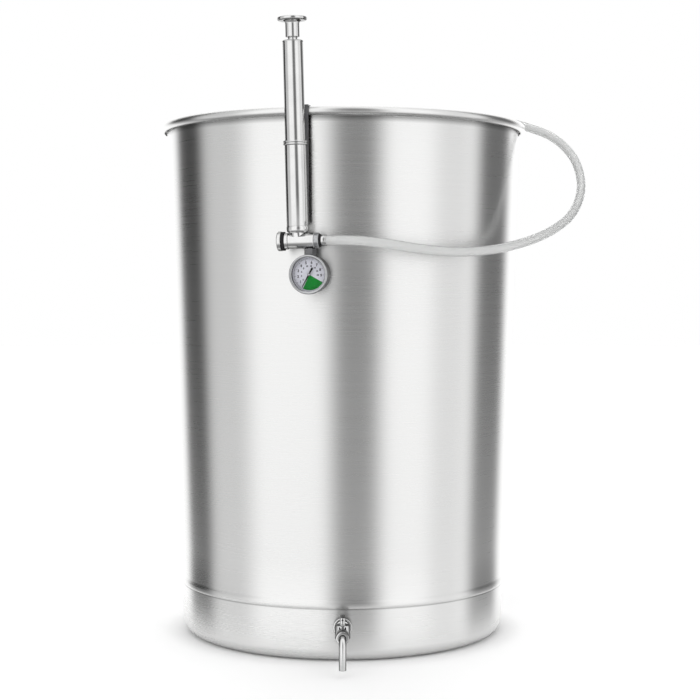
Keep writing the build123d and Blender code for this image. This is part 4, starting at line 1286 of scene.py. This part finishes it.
# ---- Lid ----
class TANK_OT_lid(bpy.types.Operator):
    """Press the floating lid's pan and channel, and fit its gasket"""

    bl_idname = "brewing_tank.lid"
    bl_label = "Floating lid"

    def execute(self, context):
        sizes = context.scene.tank_lid
        sheet = tank_sizes().sheet
        low = lid_low / mm
        rim_r = wall_radius(low) - sheet - sizes.gap
        channel_r = rim_r - sizes.depth
        flat_r, crown_r, tail_r = channel_r - 38.0, 32.0, 11.05
        high = low + sizes.rise
        lathed(
            "lid_dish", UPRIGHT, "lid", "satin_steel", "lid_pan",
            [(tail_r, high), (crown_r - 6, high), (crown_r + 4, high - 0.7), (flat_r - 8, low + 0.9),
             (flat_r, low + 0.15), (flat_r + 8, low), (rim_r - 0.4, low), (rim_r, low + 0.3),
             (rim_r, low + sheet - 0.2), (rim_r - 0.3, low + sheet), (flat_r + 8, low + sheet),
             (flat_r, low + sheet + 0.15), (flat_r - 8, low + sheet + 0.9),
             (crown_r + 4, high + sheet - 0.7), (crown_r - 6, high + sheet), (tail_r, high + sheet)],
            segments=144, loop=True, soft=30,
        )
        top = low + sizes.height
        lathed(
            "lid_ring", UPRIGHT, "lid", "satin_steel", "lid_channel",
            [(channel_r, low + sheet), (channel_r + sheet, low + sheet),
             (channel_r + sheet, top - sheet - 1.2), (channel_r + sheet + 1.2, top - sheet),
             (rim_r - 0.3, top - sheet), (rim_r, top - sheet + 0.3), (rim_r, top - 0.3),
             (rim_r - 0.3, top), (channel_r + 1.8, top)]
            + arc((channel_r + 1.8, top - 1.8), 1.8, 100, 175, 6) + [(channel_r, top - 2.0)],
            segments=144, loop=True, soft=35,
        )
        middle = (low + top) / 2
        outer = wall_radius(middle) - sheet - 0.3
        inner = channel_r + sheet
        half = (top - low) / 2 - sheet - 0.6
        bulge = 9.0
        belly_r = (half ** 2 + bulge ** 2) / (2 * bulge)
        span = math.degrees(math.asin(half / belly_r))
        skin = 3.0
        lathed(
            "lid_tyre", UPRIGHT, "lid", "gasket_rubber", "lid_gasket",
            [(inner, middle - half)] + arc((outer - belly_r, middle), belly_r, -span, span, 22)
            + [(inner, middle + half), (inner + skin, middle + half - skin)]
            + arc((outer - belly_r, middle), belly_r - skin, span * 0.86, -span * 0.86, 18)
            + [(inner + skin, middle - half + skin)],
            segments=144, loop=True, soft=40,
        )
        return {"FINISHED"}


class TANK_OT_vent(bpy.types.Operator):
    """Turn the vent's flange, tube and pierced cap in the middle of the lid"""

    bl_idname = "brewing_tank.vent"
    bl_label = "Vent"

    def execute(self, context):
        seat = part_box("vent_washer")[1][2] / mm
        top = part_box("vent_cap")[1][2] / mm
        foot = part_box("vent_body")[0][2] / mm
        tube_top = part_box("vent_disc")[0][2] / mm
        lathed(
            "vent_fitting", UPRIGHT, "lid", "polished_steel", "vent_body",
            [(7.0, foot), (10.5, foot), (11.0, foot + 0.5), (11.0, seat), (17.4, seat)]
            + arc((17.2, seat + 0.8), 0.8, -60, 0, 4) + arc((17.2, seat + 2.2), 0.8, 0, 80, 5)
            + [(14.5, seat + 3.0), (11.0, seat + 3.0), (11.0, tube_top - 0.5), (10.5, tube_top),
               (7.4, tube_top), (7.0, tube_top - 0.4)],
            loop=True, soft=35,
        )
        wall, cap_r, low = 1.2, 14.0, seat + 3.0
        cap = turned(
            "vent_hood",
            [(0, top - wall), (cap_r - 2.6, top - wall - 0.1), (cap_r - wall, top - 2.6),
             (cap_r - wall, low), (cap_r, low), (cap_r, low + 10)]
            + arc((cap_r - 2.0, top - 2.0), 2.0, 0, 80, 7) + [(8.0, top - 0.05), (0, top)],
            soft=35,
        )
        up, centre = Vector((0, 0, 1)), Vector((0, 0, (low + 7.0) * mm))
        drill = []
        for number in range(3):
            hole = turned("drill", [(0, -30), (2.2, -30), (2.2, 30), (0, 30)], segments=24)
            turn = math.radians(60 * number)
            across = Vector((math.cos(turn), math.sin(turn), 0))
            drill.append(placed(hole, axes(centre, up, across.cross(up), across)))
        for hole in drill:
            cap = combined(cap, hole, "DIFFERENCE")
        fitted(placed(cap, UPRIGHT), "lid", "polished_steel", "vent_cap")
        return {"FINISHED"}


# Painted shade: rim_hook and gauge_stem take the dark strap_steel to stand in for the shade round them
FINISH_OF_NODE = {"rim_hook": "strap_steel", "gauge_stem": "strap_steel", "ring_clamp": "gauge_steel"}


class TANK_OT_kept_parts(bpy.types.Operator):
    """Give every piece that keeps its first shape its finish"""

    bl_idname = "brewing_tank.kept_parts"
    bl_label = "Other parts"

    def execute(self, context):
        slots = {part["node"]: part["material_slot"] for part in frame["record"]["subparts"]}
        stood_for = {name for piece in bpy.data.objects for name in piece.get("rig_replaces", [])}
        for name, slot in slots.items():
            node = bpy.data.objects.get(name)
            if node is None or name in stood_for:
                continue
            node.data.materials.clear()
            node.data.materials.append(finish_for(FINISH_OF_NODE.get(name, slot)))
        return {"FINISHED"}


class TANK_PT_panel(bpy.types.Panel):
    """The tank's sizes and the steps that build it"""

    bl_idname = "TANK_PT_panel"
    bl_label = "Brewing Tank"
    bl_space_type = "VIEW_3D"
    bl_region_type = "UI"
    bl_category = "Brewing Tank"

    def draw(self, context):
        layout = self.layout
        for group in ("brewing_tank", "tank_pump", "tank_lid", "tank_stage"):
            settings = getattr(context.scene, group)
            column = layout.column()
            for key in settings.__annotations__:
                column.prop(settings, key)
        for step in STEPS:
            layout.operator(step.bl_idname)


GROUPS = {
    "brewing_tank": TankSizes,
    "tank_pump": PumpSizes,
    "tank_lid": LidSizes,
    "tank_stage": StageLook,
}
STEPS = [
    TANK_OT_stage, TANK_OT_hose, TANK_OT_wall, TANK_OT_bottom, TANK_OT_barrel, TANK_OT_plunger,
    TANK_OT_manifold, TANK_OT_gauge, TANK_OT_tap, TANK_OT_lid, TANK_OT_vent, TANK_OT_kept_parts,
]


def register():
    for kind in [*GROUPS.values(), *STEPS, TANK_PT_panel]:
        bpy.utils.register_class(kind)
    for name, group in GROUPS.items():
        setattr(bpy.types.Scene, name, bpy.props.PointerProperty(type=group))


def unregister():
    for name in GROUPS:
        delattr(bpy.types.Scene, name)
    for kind in reversed([*GROUPS.values(), *STEPS, TANK_PT_panel]):
        bpy.utils.unregister_class(kind)


def main():
    register()
    for step in STEPS:
        group, name = step.bl_idname.split(".")
        getattr(getattr(bpy.ops, group), name)()
    bpy.context.view_layer.update()


if __name__ == "__main__":
    main()
